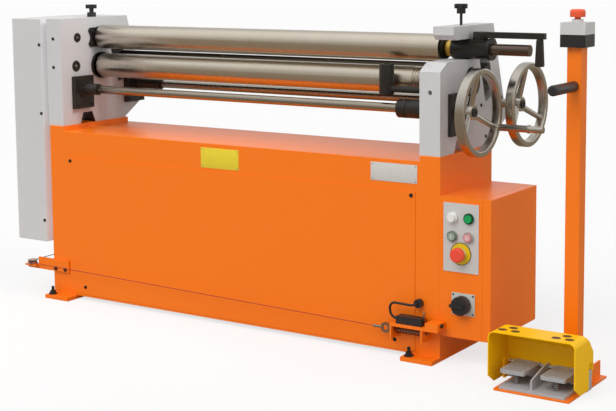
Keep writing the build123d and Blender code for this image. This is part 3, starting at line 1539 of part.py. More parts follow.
# Black hand grip on the column's front
with BuildPart() as stand_grip:
    grip_y = (column_front - stand_grip_length, column_front)
    rod_y(column_middle_x, grip_y, stand_grip_z, stand_grip_diameter)
    fillet(stand_grip.edges().group_by(Axis.Y)[0], stand_grip_round)
stand_grip.part.label = "stand_grip"
export_step(stand_grip.part, "parts/stand_grip.step")
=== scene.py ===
import bpy
import bmesh
import math
from mathutils import Matrix, Vector


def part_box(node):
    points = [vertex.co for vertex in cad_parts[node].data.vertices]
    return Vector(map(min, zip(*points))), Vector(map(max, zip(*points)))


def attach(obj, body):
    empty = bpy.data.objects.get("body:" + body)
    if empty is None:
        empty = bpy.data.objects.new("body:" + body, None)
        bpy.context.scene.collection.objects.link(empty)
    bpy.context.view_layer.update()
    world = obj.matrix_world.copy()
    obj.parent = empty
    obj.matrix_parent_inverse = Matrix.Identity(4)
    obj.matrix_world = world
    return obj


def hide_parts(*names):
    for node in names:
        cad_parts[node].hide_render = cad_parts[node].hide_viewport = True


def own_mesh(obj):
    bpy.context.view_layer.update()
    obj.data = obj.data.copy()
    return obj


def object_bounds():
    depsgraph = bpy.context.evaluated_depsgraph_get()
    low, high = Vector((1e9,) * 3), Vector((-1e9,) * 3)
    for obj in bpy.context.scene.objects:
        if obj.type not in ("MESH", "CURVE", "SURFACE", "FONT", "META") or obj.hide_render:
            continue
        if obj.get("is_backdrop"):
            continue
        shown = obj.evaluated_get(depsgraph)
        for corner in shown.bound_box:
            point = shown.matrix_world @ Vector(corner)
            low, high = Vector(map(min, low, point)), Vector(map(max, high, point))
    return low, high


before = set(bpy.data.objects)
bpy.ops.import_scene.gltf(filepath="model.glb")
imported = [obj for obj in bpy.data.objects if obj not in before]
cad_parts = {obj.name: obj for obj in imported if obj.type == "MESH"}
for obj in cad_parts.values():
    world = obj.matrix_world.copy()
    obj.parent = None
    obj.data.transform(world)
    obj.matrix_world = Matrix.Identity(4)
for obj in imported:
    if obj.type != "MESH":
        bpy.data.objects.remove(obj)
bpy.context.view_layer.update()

# The viewpoint stands at head height off the right front corner and looks a little down along the bed.
# The frame is shifted down slightly, so that upright edges stay nearly upright.
eye = Vector((2.5084, -3.4323, 1.1196))
turn, dip, tilt = math.radians(33.647), math.radians(6.532), -0.00897
ahead = Vector((-math.sin(turn) * math.cos(dip), math.cos(turn) * math.cos(dip), -math.sin(dip)))
level = Vector((math.cos(turn), math.sin(turn), 0))
rise = level.cross(ahead)
across = level * math.cos(tilt) + rise * math.sin(tilt)
upright = rise * math.cos(tilt) - level * math.sin(tilt)
viewpoint = bpy.data.cameras.new("viewpoint")
viewpoint.lens = 80.289
viewpoint.sensor_width = 36
viewpoint.shift_y = -0.15
viewpoint.clip_end = 200
camera = bpy.data.objects.new("viewpoint", viewpoint)
bpy.context.collection.objects.link(camera)
camera.matrix_world = Matrix.Translation(eye) @ Matrix((across, upright, -ahead)).transposed().to_4x4()
scene = bpy.context.scene
scene.camera = camera
scene.view_settings.view_transform = "Standard"


# The room is a pale studio, brightest overhead and on the wall behind, with a brown floor in front. Long
# round bars mirror it as a light upper half and a dark belly. A broad main light comes from the front, and
# weak ones from the left, from the right and from over the bed.
class Wire:
    """A socket in a node tree that can be added, multiplied and fed to other nodes."""

    def __init__(self, tree, socket=None):
        self.tree = tree
        self.socket = socket

    def node(self, kind, settings=None, out=0, **sockets):
        made = self.tree.nodes.new(kind)
        for name, value in (settings or {}).items():
            if name == "stops":
                ramp = made.color_ramp
                while len(ramp.elements) < len(value):
                    ramp.elements.new(0.5)
                for stop, (place, colour) in zip(ramp.elements, value):
                    stop.position = place
                    stop.color = (*colour, 1)
            else:
                setattr(made, name, value)
        for name, value in sockets.items():
            self.feed(made, name, value)
        return Wire(self.tree, made.outputs[out] if made.outputs else None)

    def feed(self, made, name, value):
        key = int(name[1:]) if name[0] == "n" and name[1:].isdigit() else name.replace("_", " ")
        target = made.inputs[key]
        if isinstance(value, Wire):
            self.tree.links.new(value.socket, target)
        else:
            target.default_value = value

    def maths(self, operation, one, two):
        return self.node("ShaderNodeMath", {"operation": operation}, n0=one, n1=two)

    def __add__(self, other):
        return self.maths("ADD", self, other)

    def __radd__(self, other):
        return self.maths("ADD", other, self)

    def __sub__(self, other):
        return self.maths("SUBTRACT", self, other)

    def __rsub__(self, other):
        return self.maths("SUBTRACT", other, self)

    def __mul__(self, other):
        return self.maths("MULTIPLY", self, other)

    def __rmul__(self, other):
        return self.maths("MULTIPLY", other, self)

    def __gt__(self, other):
        return self.maths("GREATER_THAN", self, other)

    def __lt__(self, other):
        return self.maths("LESS_THAN", self, other)

    def between(self, low, high):
        """0 below low, 1 above high and a straight slope from one to the other."""
        return self.node("ShaderNodeMapRange", Value=self, From_Min=low, From_Max=high)

    def blend(self, one, two):
        """Colour between one and two by this value."""
        if not isinstance(one, Wire):
            one = (*one, 1)
        if not isinstance(two, Wire):
            two = (*two, 1)
        return self.node("ShaderNodeMix", {"data_type": "RGBA"}, 2, n0=self, n6=one, n7=two)


sky = bpy.data.worlds.new("studio")
scene.world = sky
sky.use_nodes = True
sky.node_tree.nodes.clear()
air = Wire(sky.node_tree)
seen = air.node("ShaderNodeLightPath", out="Is Camera Ray")
through = air.node("ShaderNodeLightPath", out="Is Transmission Ray")
shine = air.node("ShaderNodeLightPath", out="Is Glossy Ray")
towards = air.node("ShaderNodeTexCoord", out="Generated")
height = air.node("ShaderNodeSeparateXYZ", out=2, Vector=towards)
depth = air.node("ShaderNodeSeparateXYZ", out=1, Vector=towards)
over = air.maths("ARCTAN2", air.maths("MAXIMUM", height, 0.0), 0 - depth) * (1 / math.pi)
front_to_rear = [
    (0.0, (0.25, 0.20, 0.14)),
    (0.06, (0.40, 0.36, 0.31)),
    (0.13, (0.58, 0.56, 0.53)),
    (0.27, (0.80, 0.79, 0.77)),
    (0.42, (1.0, 0.99, 0.97)),
    (0.56, (0.95, 0.94, 0.92)),
    (0.76, (0.60, 0.59, 0.58)),
    (0.88, (0.66, 0.65, 0.64)),
    (0.95, (0.97, 0.97, 0.97)),
]
dome = air.node("ShaderNodeValToRGB", {"stops": front_to_rear}, Fac=over)
soft = air.node("ShaderNodeBackground", Color=(1, 1, 1, 1), Strength=0.5)
mirrored = air.node("ShaderNodeBackground", Color=dome, Strength=1.0)
plain = air.node("ShaderNodeBackground", Color=(0.96, 0.96, 0.96, 1), Strength=1.0)
unseen = air.node("ShaderNodeMixShader", n0=shine, n1=soft, n2=mirrored)
room = air.node("ShaderNodeMixShader", n0=seen + through, n1=unseen, n2=plain)
air.node("ShaderNodeOutputWorld", Surface=room)


def lamp(name, kind, towards, strength, colour):
    """A lamp that lights surfaces but isn't mirrored in them."""
    light = bpy.data.lights.new(name, kind)
    light.energy = strength
    light.color = colour
    holder = bpy.data.objects.new(name, light)
    holder.rotation_mode = "QUATERNION"
    holder.rotation_quaternion = Vector(towards).to_track_quat("-Z", "Y")
    holder.visible_camera = False
    holder.visible_glossy = False
    bpy.context.collection.objects.link(holder)
    return holder


for name, towards, strength, spread, colour in (
    ("main_light", (0.10, 0.66, -0.74), 1.71, 40, (1.0, 0.99, 0.97)),
    ("front_light", (-0.10, 0.97, -0.22), 0.22, 60, (1.0, 1.0, 1.0)),
    ("left_light", (0.8, 0.45, -0.5), 0.35, 60, (0.97, 0.98, 1.0)),
    ("right_light", (-0.87, 0.08, -0.48), 0.7, 60, (1.0, 0.99, 0.98)),
):
    lamp(name, "SUN", towards, strength, colour).data.angle = math.radians(spread)
bed_place, bed_aim = Vector((0.45, -0.05, 1.75)), Vector((-0.64, -0.08, 0.75))
bed_light = lamp("bed_light", "AREA", bed_aim - bed_place, 2.7, (1.0, 1.0, 1.0))
bed_light.location = bed_place
bed_light.data.shape = "DISK"
bed_light.data.size = 0.5
bed_light.data.spread = math.radians(100)


# The floor is one wide sheet of plain pale paper, laid flat under the feet. It keeps the machine's shadow,
# and bare metal mirrors it as a brown ground.
def coat(name):
    """New finish: its material, its node maker and its shader."""
    finish = bpy.data.materials.new(name)
    finish.use_nodes = True
    return finish, Wire(finish.node_tree), finish.node_tree.nodes["Principled BSDF"]


floor_finish, lay, floor_shader = coat("studio_floor")
facing_viewer = lay.node("ShaderNodeLightPath", out="Is Camera Ray")
mirrored_floor = lay.node("ShaderNodeLightPath", out="Is Glossy Ray")
floor_unseen = mirrored_floor.blend((0.45, 0.44, 0.43), (0.24, 0.19, 0.13))
lay.feed(floor_shader, "Base Color", facing_viewer.blend(floor_unseen, (0.95, 0.95, 0.95)))
floor_shader.inputs["Roughness"].default_value = 0.8
white = lay.node("ShaderNodeEmission", Color=(0.97, 0.97, 0.97, 1), Strength=1.0)
lit = Wire(floor_finish.node_tree, floor_shader.outputs[0])
paper = lay.node("ShaderNodeMixShader", n0=facing_viewer * 0.75, n1=lit, n2=white)
lay.feed(floor_finish.node_tree.nodes["Material Output"], "Surface", paper)
floor_reach, floor_drop = 70.0, -0.0005
floor_corners = [
    (floor_reach * x, floor_reach * y, floor_drop) for x, y in ((-1, -1), (1, -1), (1, 1), (-1, 1))
]
floor_mesh = bpy.data.meshes.new("studio_floor")
floor_mesh.from_pydata(floor_corners, [], [(0, 1, 2, 3)])
floor_mesh.materials.append(floor_finish)
floor = bpy.data.objects.new("studio_floor", floor_mesh)
bpy.context.collection.objects.link(floor)
floor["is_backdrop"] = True


# The base is a welded sheet cabinet on two thick foot plates, powder coated in a warm orange. The coat has
# a faint skin like orange peel and is a little duller and dirtier low down.
def powder_coat(name, light, dark, gloss, shine=0.5):
    finish, make, shader = coat(name)
    place = make.node("ShaderNodeTexCoord", out="Object")
    cloud = make.node("ShaderNodeTexNoise", Vector=place, Scale=3.5, Detail=3.0)
    skin = make.node("ShaderNodeTexNoise", Vector=place, Scale=900.0, Detail=1.0)
    speck = make.node("ShaderNodeTexNoise", Vector=place, Scale=160.0, Detail=4.0)
    low = make.node("ShaderNodeSeparateXYZ", out=2, Vector=place)
    grime = (1 - low.between(0.0, 0.16)) * 0.35
    tone = cloud * 0.5 + grime * speck
    make.feed(shader, "Base Color", tone.blend(light, dark))
    make.feed(shader, "Roughness", gloss + speck * 0.1 + grime * 0.2)
    make.feed(shader, "Normal", make.node("ShaderNodeBump", Strength=0.05, Distance=0.0004, Height=skin))
    shader.inputs["Specular IOR Level"].default_value = shine
    return finish


def dress(node, finish, round_edge=0.0):
    """Give a CAD piece its finish, and soften its edges where the real ones are soft."""
    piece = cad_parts[node]
    for place in piece.material_slots:
        place.link = "OBJECT"
        place.material = finish
    if round_edge:
        weld = piece.modifiers.new("joined", "WELD")
        weld.merge_threshold = 0.00002
        rounded = piece.modifiers.new("rounded", "BEVEL")
        rounded.width = round_edge
        rounded.segments = 2
        rounded.limit_method = "ANGLE"
        rounded.angle_limit = math.radians(42)
        rounded.harden_normals = True


orange = powder_coat("orange_powder_coat", (0.92, 0.19, 0.003), (0.86, 0.165, 0.002), 0.28)
dress("base_cabinet", orange, 0.0015)


# The front panel is a plain sheet over the opening in the base, held by four black screws near its corners.
# Its edge shows as a thin dark line all round.
def settle(name, form, finish, body):
    """Make a mesh piece of a form, shade it, and let it ride on a body."""
    bmesh.ops.recalc_face_normals(form, faces=form.faces)
    mesh = bpy.data.meshes.new(name)
    form.to_mesh(mesh)
    form.free()
    mesh.shade_smooth()
    mesh.set_sharp_from_angle(angle=math.radians(38))
    mesh.materials.append(finish)
    piece = bpy.data.objects.new(name, mesh)
    bpy.context.collection.objects.link(piece)
    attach(piece, body)
    return piece


def spin(form, profile, place, along, steps):
    """Add a closed turned form: (radius, height) pairs spun about the axis through a place."""
    aim = Vector((0, 0, 1)).rotation_difference(Vector(along)).to_matrix()
    rings = []
    for radius, height in profile:
        angles = [0] if radius == 0 else [2 * math.pi * step / steps for step in range(steps)]
        points = [Vector((radius * math.cos(angle), radius * math.sin(angle), height)) for angle in angles]
        rings.append([form.verts.new(aim @ point + Vector(place)) for point in points])
    pairs = list(zip(rings, rings[1:]))
    if len(rings[0]) == 1:
        form.faces.new(rings[-1])
    else:
        pairs.append((rings[-1], rings[0]))
    for low, high in pairs:
        for step in range(steps):
            after = (step + 1) % steps
            near = [low[step % len(low)], low[after % len(low)]]
            far = [high[after % len(high)], high[step % len(high)]]
            form.faces.new(list(dict.fromkeys(near + far)))


def turned(name, profile, places, along, finish, body, steps=28):
    """One piece of equal turned forms at several places."""
    form = bmesh.new()
    for place in places:
        spin(form, profile, place, along, steps)
    return settle(name, form, finish, body)


foot_sunk = 0.0004


def socket_screw(radius, height):
    """Outline of a screw head with a round recess and its foot a little below its seat."""
    return [
        (0, height * 0.4),
        (radius * 0.48, height * 0.4),
        (radius * 0.52, height),
        (radius * 0.85, height),
        (radius, height * 0.75),
        (radius, -foot_sunk),
    ]


def dark_finish(name, colour, gloss, metal):
    finish, make, shader = coat(name)
    place = make.node("ShaderNodeTexCoord", out="Object")
    haze = make.node("ShaderNodeTexNoise", Vector=place, Scale=60.0, Detail=5.0)
    grain = make.node("ShaderNodeTexNoise", Vector=place, Scale=700.0, Detail=1.0)
    worn = tuple(part * 1.7 + 0.004 for part in colour)
    make.feed(shader, "Base Color", haze.blend(colour, worn))
    make.feed(shader, "Roughness", gloss + haze * 0.18)
    make.feed(shader, "Normal", make.node("ShaderNodeBump", Strength=0.07, Distance=0.0003, Height=grain))
    shader.inputs["Metallic"].default_value = metal
    return finish


oxide_black = (0.016, 0.014, 0.012)
blackened = dark_finish("blackened_steel", oxide_black, 0.3, 0.2)


def black_fasteners(name, profile, places, along, steps=28):
    """Blackened screws, bolts or nuts on the fixed parts of the machine."""
    return turned(name, profile, places, along, blackened, "machine", steps)


dress("front_panel", orange, 0.0006)
to_front = (0, -1, 0)
panel_low, panel_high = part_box("front_panel")
high_inset, low_inset, low_rise = 0.012, 0.065, 0.0247
panel_screws = [
    (panel_low.x + high_inset, panel_low.y, panel_high.z - high_inset),
    (panel_high.x - high_inset, panel_low.y, panel_high.z - high_inset),
    (panel_low.x + low_inset, panel_low.y, panel_low.z + low_rise),
    (panel_high.x - low_inset, panel_low.y, panel_low.z + low_rise),
]
black_fasteners("panel_screws", socket_screw(0.0055, 0.003), panel_screws, to_front)

# A floor anchor of blackened steel stands in each hole of the foot plates and holds the machine down. It
# shows as a washer, a hexagon nut and the end of its stud.
to_top = (0, 0, 1)
anchor_x, anchor_y, foot_top = 0.6765, 0.185, 0.012
anchors = [(x, y, foot_top) for x in (-anchor_x, anchor_x) for y in (-anchor_y, anchor_y)]
washer = [(0, 0.003), (0.0135, 0.003), (0.014, 0.0022), (0.014, -foot_sunk)]
nut = [(0, 0.0125), (0.0085, 0.0125), (0.0105, 0.0112), (0.0105, 0.003)]
stud = [(0, 0.026), (0.0038, 0.026), (0.005, 0.0245), (0.005, 0.0125)]
black_fasteners("anchor_washers", washer, anchors, to_top)
black_fasteners("anchor_nuts", nut, anchors, to_top, 6)
black_fasteners("anchor_studs", stud, anchors, to_top)

# Two bare plates are riveted to the upper edge of the base: a yellow one in the middle and a pale one at the
# right. They are thin painted sheet with nothing printed on them.
def slab(name, low, high, finish, body, edge=0.0004):
    """One flat piece with softened edges."""
    form = bmesh.new()
    bmesh.ops.create_cube(form, size=1.0)
    middle, size = (Vector(low) + Vector(high)) / 2, Vector(high) - Vector(low)
    for vert in form.verts:
        vert.co = Vector([part * side for part, side in zip(vert.co, size)]) + middle
    bmesh.ops.bevel(form, geom=form.edges[:], offset=edge, segments=2, affect="EDGES", profile=0.5)
    return settle(name, form, finish, body)


def plastic(name, colour, gloss=0.28, metal=0.0):
    finish, make, shader = coat(name)
    place = make.node("ShaderNodeTexCoord", out="Object")
    haze = make.node("ShaderNodeTexNoise", Vector=place, Scale=90.0, Detail=3.0)
    make.feed(shader, "Base Color", haze.blend(colour, tuple(part * 0.86 for part in colour)))
    make.feed(shader, "Roughness", gloss + haze * 0.08)
    shader.inputs["Metallic"].default_value = metal
    return finish


plate_yellow = plastic("plate_yellow", (0.80, 0.62, 0.03), 0.35)
plate_pale = plastic("plate_pale", (0.62, 0.60, 0.57), 0.35)
rivet_steel = plastic("rivet_steel", (0.55, 0.54, 0.52), 0.25, 1.0)
base_front = panel_high.y
plate_thickness, plate_sunk, rivet_inset = 0.0012, 0.0002, 0.005
dome_head = [(0, 0.0012), (0.0012, 0.001), (0.002, 0.0004), (0.0022, -foot_sunk)]
for name, left, right, low, high, finish, slot in (
    ("middle_plate", -0.0645, 0.0785, 0.481, 0.543, plate_yellow, "yellow_paint"),
    ("right_plate", 0.5395, 0.6885, 0.493, 0.545, plate_pale, "bare_sheet"),
):
    plate_front = base_front - plate_thickness
    slab(name, (left, plate_front, low), (right, base_front + plate_sunk, high), finish, "machine")
    rivets = [
        (x, plate_front, z)
        for x in (left + rivet_inset, right - rivet_inset)
        for z in (low + rivet_inset, high - rivet_inset)
    ]
    turned(f"{name}_rivets", dome_head, rivets, to_front, rivet_steel, "machine", 16)


# The side frames are castings in a smooth light grey enamel. The left one is closed at the top, has an
# arch at its foot painted near black inside as painted shade, and two black caps with a bright screw in
# its inner face. Small black screws sit in the front and outer faces.
def enamel(name, light, dark, gloss, bare_tone_and_shade_box=None):
    finish, make, shader = coat(name)
    place = make.node("ShaderNodeTexCoord", out="Object")
    cloud = make.node("ShaderNodeTexNoise", Vector=place, Scale=6.0, Detail=4.0)
    sand = make.node("ShaderNodeTexNoise", Vector=place, Scale=420.0, Detail=2.0)
    tone = cloud.blend(light, dark)
    # Inside the given box the colour turns near black: painted shade.
    if bare_tone_and_shade_box:
        inside = 1.0
        for axis, (low, high) in enumerate(bare_tone_and_shade_box):
            along = make.node("ShaderNodeSeparateXYZ", out=axis, Vector=place)
            inside = (along > low) * (along < high) * inside
        tone = inside.blend(tone, (0.018, 0.016, 0.014))
    make.feed(shader, "Base Color", tone)
    make.feed(shader, "Roughness", gloss + sand * 0.12)
    make.feed(shader, "Normal", make.node("ShaderNodeBump", Strength=0.08, Distance=0.0004, Height=sand))
    return finish


frame_light, frame_dark = (0.59, 0.585, 0.59), (0.54, 0.535, 0.54)
grey_enamel = enamel("grey_enamel", frame_light, frame_dark, 0.36)
left_low, left_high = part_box("left_frame")
# The inside of the arch at the left frame's foot gets painted shade.
arch_front, arch_rear, arch_top, arch_spare = -0.0735, 0.0035, 0.609, 0.001
arch_painted_shade = (
    (left_low.x - arch_spare, left_high.x - 2 * arch_spare),
    (arch_front, arch_rear),
    (left_low.z - arch_spare, arch_top),
)
left_enamel = enamel("left_frame_enamel", frame_light, frame_dark, 0.36, arch_painted_shade)
dress("left_frame", left_enamel, 0.0025)
dress("right_frame", grey_enamel, 0.0025)
right_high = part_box("right_frame")[1]
to_right = (1, 0, 0)
front_screw_places = ((-0.6729, 0.8568), (-0.6737, 0.7636))
outer_screw_places = ((0.0936, 0.691), (0.1236, 0.5982))
frame_screws = [(x, left_low.y, z) for x, z in front_screw_places]
outer_screws = [(right_high.x, y, z) for y, z in outer_screw_places]
screw_head = socket_screw(0.0052, 0.0022)
black_fasteners("left_frame_screws", screw_head, frame_screws, to_front)
black_fasteners("right_frame_screws", screw_head, outer_screws, to_right)
for name, y, z, radius in (("upper_cap", -0.0775, 0.858, 0.016), ("lower_cap", -0.086, 0.7645, 0.019)):
    cap = [
        (0, 0.001),
        (radius * 0.5, 0.001),
        (radius * 0.55, 0.003),
        (radius * 0.9, 0.003),
        (radius, -foot_sunk),
    ]
    stud_head = [(0, 0.0035), (radius * 0.24, 0.003), (radius * 0.3, 0.001)]
    cap_seat = [(left_high.x, y, z)]
    black_fasteners(name, cap, cap_seat, to_right)
    turned(f"{name}_screw", stud_head, cap_seat, to_right, rivet_steel, "machine", 16)

# The drive case is a folded sheet cover in the same grey, held to its back plate by screws in its front
# edge. Behind it run the gears and the chain, plain oily steel. A light from the right reaches only the
# case's inner side, deep in the narrow gap beside the frame.
dress("gear_cover", grey_enamel, 0.0014)
dress("gear_case_plate", grey_enamel, 0.0008)
gap_light = lamp("gap_light", "SUN", (-0.99, 0.02, -0.1), 1.6, (1.0, 0.98, 0.98))
gap_sides = bpy.data.collections.new("gap_sides")
for node in ("gear_cover", "gear_case_plate"):
    gap_sides.objects.link(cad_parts[node])
gap_light.light_linking.receiver_collection = gap_sides
gap_light.light_linking.blocker_collection = gap_sides
cover_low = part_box("gear_cover")[0]
cover_screw_places = ((-0.7316, 0.8361), (-0.7304, 0.609), (-0.7304, 0.25))
cover_screws = [(x, cover_low.y, z) for x, z in cover_screw_places]
black_fasteners("cover_screws", screw_head, cover_screws, to_front)


# The rolls are ground steel bars, turned all over, so fine rings run round them. They are lightly oiled and
# warm in tone, with faint bands where sheets have run. The lower one has a near black ring of painted shade
# by the left frame and the upper one by its bush. The rear one is painted dark all over, as painted shade
# between the rolls.
def turned_steel(name, light, dark, gloss, ring=900.0, shade_span=None, rim=1.0):
    finish, make, shader = coat(name)
    place = make.node("ShaderNodeTexCoord", out="Object")
    along = make.node("ShaderNodeSeparateXYZ", Vector=place)
    rings = make.node("ShaderNodeTexNoise", {"noise_dimensions": "1D"}, W=along, Scale=ring, Detail=3.0)
    bands = make.node("ShaderNodeTexNoise", {"noise_dimensions": "1D"}, W=along, Scale=14.0, Detail=4.0)
    smear = make.node("ShaderNodeTexNoise", Vector=place, Scale=22.0, Detail=5.0, Roughness=0.6)
    tone = (bands * 0.6 + smear * 0.4).blend(light, dark)
    # Over the given span the colour turns near black: painted shade.
    if shade_span:
        tone = ((along > shade_span[0]) * (along < shade_span[1])).blend(tone, (0.03, 0.028, 0.025))
    make.feed(shader, "Base Color", tone)
    make.feed(shader, "Roughness", gloss + smear * 0.1 + rings * 0.08)
    make.feed(shader, "Normal", make.node("ShaderNodeBump", Strength=0.02, Distance=0.0003, Height=rings))
    shader.inputs["Metallic"].default_value = 1.0
    shader.inputs["Specular Tint"].default_value = (rim, rim, rim, 1)
    return finish


roll_light, roll_dark = (0.73, 0.67, 0.58), (0.63, 0.575, 0.485)
# The lower roll gets a ring of painted shade by the left frame, the upper one by its bush.
lower_shade_ring, upper_shade_ring = (-0.6369, -0.6235), (0.671, 0.6808)
upper_steel = turned_steel("upper_roll_steel", roll_light, roll_dark, 0.2, shade_span=upper_shade_ring)
lower_steel = turned_steel("lower_roll_steel", roll_light, roll_dark, 0.2, shade_span=lower_shade_ring)
# The rear roll's steel is painted dark, with weak reflections, as painted shade between the rolls.
shaded_rear_steel = turned_steel("rear_roll_painted_shade", (0.10, 0.085, 0.065), (0.07, 0.06, 0.047), 0.24, rim=0.12)
dress("upper_roll", upper_steel, 0.0008)
dress("lower_roll", lower_steel, 0.0008)
dress("rear_roll", shaded_rear_steel, 0.0008)

# A black flange closes the left frame round the upper roll's neck, held by four socket screws. At the right
# the roll turns in a brass bush inside a black housing that swings out of the frame's throat.
dress("neck_flange", blackened, 0.0006)
flange_low, flange_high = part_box("neck_flange")
bolt_inset = 0.012
flange_bolts = [
    (flange_high.x, y, z)
    for y in (flange_low.y + bolt_inset, flange_high.y - bolt_inset)
    for z in (flange_low.z + bolt_inset, flange_high.z - bolt_inset)
]
black_fasteners("flange_bolts", socket_screw(0.0045, 0.006), flange_bolts, to_right)
brass = turned_steel("brass", (0.80, 0.56, 0.13), (0.62, 0.41, 0.08), 0.2)
dress("brass_bush", brass, 0.0005)


def part_blackened(name, black, bare_tone_and_shade_box, edge):
    finish, make, shader = coat(name)
    place = make.node("ShaderNodeTexCoord", out="Object")
    haze = make.node("ShaderNodeTexNoise", Vector=place, Scale=60.0, Detail=5.0)
    open_end = make.node("ShaderNodeSeparateXYZ", Vector=place) > edge
    make.feed(shader, "Base Color", open_end.blend(black, bare_tone_and_shade_box))
    make.feed(shader, "Roughness", 0.26 + haze * 0.06)
    make.feed(shader, "Metallic", open_end * 0.8 + 0.2)
    return finish


housing_end = 0.8238
housing_finish = part_blackened("housing_black", oxide_black, (0.17, 0.13, 0.11), housing_end)
dress("end_housing", housing_finish, 0.0010)

# The bearings slide in the frames on dark, oiled faces. The gears, sprocket and chain behind the cover are
# plain machined steel.
dress("lower_bearings", blackened, 0.0006)
dress("rear_bearings", blackened, 0.0006)
shaft_steel = turned_steel("turned_shaft_steel", (0.47, 0.43, 0.365), (0.38, 0.345, 0.29), 0.18)
for node in ("upper_gear", "lower_gear", "drive_sprocket", "drive_chain"):
    dress(node, shaft_steel)

# The release crank is a flat bar of blackened steel that turns on an upright pin over the end housing. A
# black grip hangs from its end.
dress("release_crank", blackened, 0.0010)
dress("crank_grip", blackened, 0.0008)

# The adjusting shafts are bright bars along the front and the rear. They run in black boxes on the left
# frame and black sleeves on the right one, each box held by four socket screws.
dress("front_shaft", shaft_steel, 0.0008)
dress("rear_shaft", shaft_steel, 0.0008)
dress("left_boxes", blackened, 0.0010)
dress("right_carriers", blackened, 0.0010)
boxes_low, boxes_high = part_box("left_boxes")
box_thickness, box_depth, box_inset = 0.016, 0.0885, 0.011
box_spans = ((boxes_low.y, boxes_low.y + box_depth), (boxes_high.y - box_depth, boxes_high.y))
box_bolts = [
    (boxes_low.x + box_thickness, y, z)
    for front, rear in box_spans
    for y in (front + box_inset, rear - box_inset)
    for z in (boxes_low.z + box_inset, boxes_high.z - box_inset)
]
black_fasteners("box_bolts", socket_screw(0.0045, 0.004), box_bolts, to_right)

# The handwheels are bright polished castings with a flat rim, three tapered spokes and a hub with a black
# screw in its bore; the screw's black also stands in as painted shade on the hub's end face. The front one
# has a turning steel handle.
polished = turned_steel("polished_steel", (0.62, 0.585, 0.53), (0.51, 0.48, 0.43), 0.14, 300.0)
end_screw = [
    (0, 0.001),
    (0.005, 0.001),
    (0.0055, 0.004),
    (0.0115, 0.004),
    (0.0125, 0.003),
    (0.0125, -foot_sunk),
]
for side in ("front", "rear"):
    wheel, body = f"{side}_handwheel", f"{side}_wheel"
    dress(wheel, polished, 0.0010)
    shaft_low, shaft_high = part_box(f"{side}_shaft")
    centre = (shaft_high.x, (shaft_low.y + shaft_high.y) / 2, (shaft_low.z + shaft_high.z) / 2)
    # The black screw also stands in as painted shade on the hub's end face.
    turned(f"{wheel}_screw", end_screw, [centre], to_right, blackened, body)
dress("wheel_handle", polished, 0.0008)

# The cone post is a blackened bar on a round arm, with a flat screw in its top. The clamping knobs on the
# frames are black moulded plastic.
dress("cone_post", blackened, 0.0010)
post_low, post_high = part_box("cone_post")
post_radius = 0.0215
post_top = (post_low.x + post_radius, post_low.y + post_radius, post_high.z)
black_fasteners("post_screw", socket_screw(0.0075, 0.0025), [post_top], to_top)
black_plastic = dark_finish("black_plastic", (0.014, 0.014, 0.015), 0.36, 0.0)
dress("left_knob", black_plastic, 0.0012)
dress("right_knob", black_plastic, 0.0012)

# The electrical cabinet is a box of the same orange sheet as the base, on the base's right end. A lid closes
# its right side.
dress("electrical_cabinet", orange)
dress("cabinet_cover", orange, 0.0012)


# The control plate is brushed aluminium. It carries a white lamp, a green start button, a greenish and a
# pink button with a white mark, each in its raised ring, and a red stop mushroom on a yellow disc.
def brushed(name, light, dark, gloss, metal, rings=()):
    finish, make, shader = coat(name)
    place = make.node("ShaderNodeTexCoord", out="Object")
    grain = (4.0, 900.0, 900.0)
    long_grain = make.node("ShaderNodeVectorMath", {"operation": "MULTIPLY"}, n0=place, n1=grain)
    hairs = make.node("ShaderNodeTexNoise", Vector=long_grain, Scale=1.0, Detail=2.0)
    tone = hairs.blend(light, dark)
    across, depth, height = (make.node("ShaderNodeSeparateXYZ", out=axis, Vector=place) for axis in range(3))
    for x, z, radius, front, colour in rings:
        aside, above = across - x, height - z
        raised = (aside * aside + above * above < radius * radius) * (depth < front)
        tone = raised.blend(tone, colour)
    make.feed(shader, "Base Color", tone)
    make.feed(shader, "Roughness", gloss + hairs * 0.12)
    shader.inputs["Metallic"].default_value = metal
    return finish


def face_middle(node):
    """Middle of the face that a control turns to the front."""
    low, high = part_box(node)
    return Vector(((low.x + high.x) / 2, low.y, (low.z + high.z) / 2))


bezel_radius, bezel_front = 0.0156, -0.1612
bezel_colours = {
    "pilot_lamp": (0.22, 0.22, 0.21),
    "start_button": (0.012, 0.075, 0.035),
    "on_button": (0.20, 0.23, 0.20),
    "off_button": (0.42, 0.36, 0.36),
}
bezels = [
    (face_middle(node).x, face_middle(node).z, bezel_radius, bezel_front, colour)
    for node, colour in bezel_colours.items()
]
aluminium_light, aluminium_dark = (0.72, 0.71, 0.705), (0.64, 0.63, 0.625)
plate_finish = brushed("control_plate_aluminium", aluminium_light, aluminium_dark, 0.36, 0.3, bezels)
dress("control_plate", plate_finish, 0.0004)
lamp_white = plastic("lamp_white", (0.80, 0.80, 0.77), 0.18)
signal_green = plastic("signal_green", (0.005, 0.34, 0.09))
signal_red = plastic("signal_red", (0.84, 0.075, 0.04))
signal_yellow = plastic("signal_yellow", (0.78, 0.55, 0.01), 0.4)
dress("pilot_lamp", lamp_white, 0.0004)
dress("start_button", signal_green, 0.0004)
button_green_grey = plastic("button_green_grey", (0.30, 0.36, 0.30), 0.34)
button_pink = plastic("button_pink", (0.70, 0.30, 0.30), 0.34)
dress("on_button", button_green_grey, 0.0004)
dress("off_button", button_pink, 0.0004)
dress("stop_mushroom", signal_red, 0.0010)
stop_seat = [(0.8245, -0.1605, 0.313)]
disc_rim = [(0.0295, 0.0003), (0.0295, 0.0014), (0.0302, 0.0018), (0.0312, 0.0014), (0.0312, -foot_sunk)]
disc = [(0.0152, -foot_sunk), (0.0152, 0.0012), (0.0296, 0.0012), (0.0296, -foot_sunk)]
turned("stop_disc", disc, stop_seat, to_front, signal_yellow, "machine", 48)
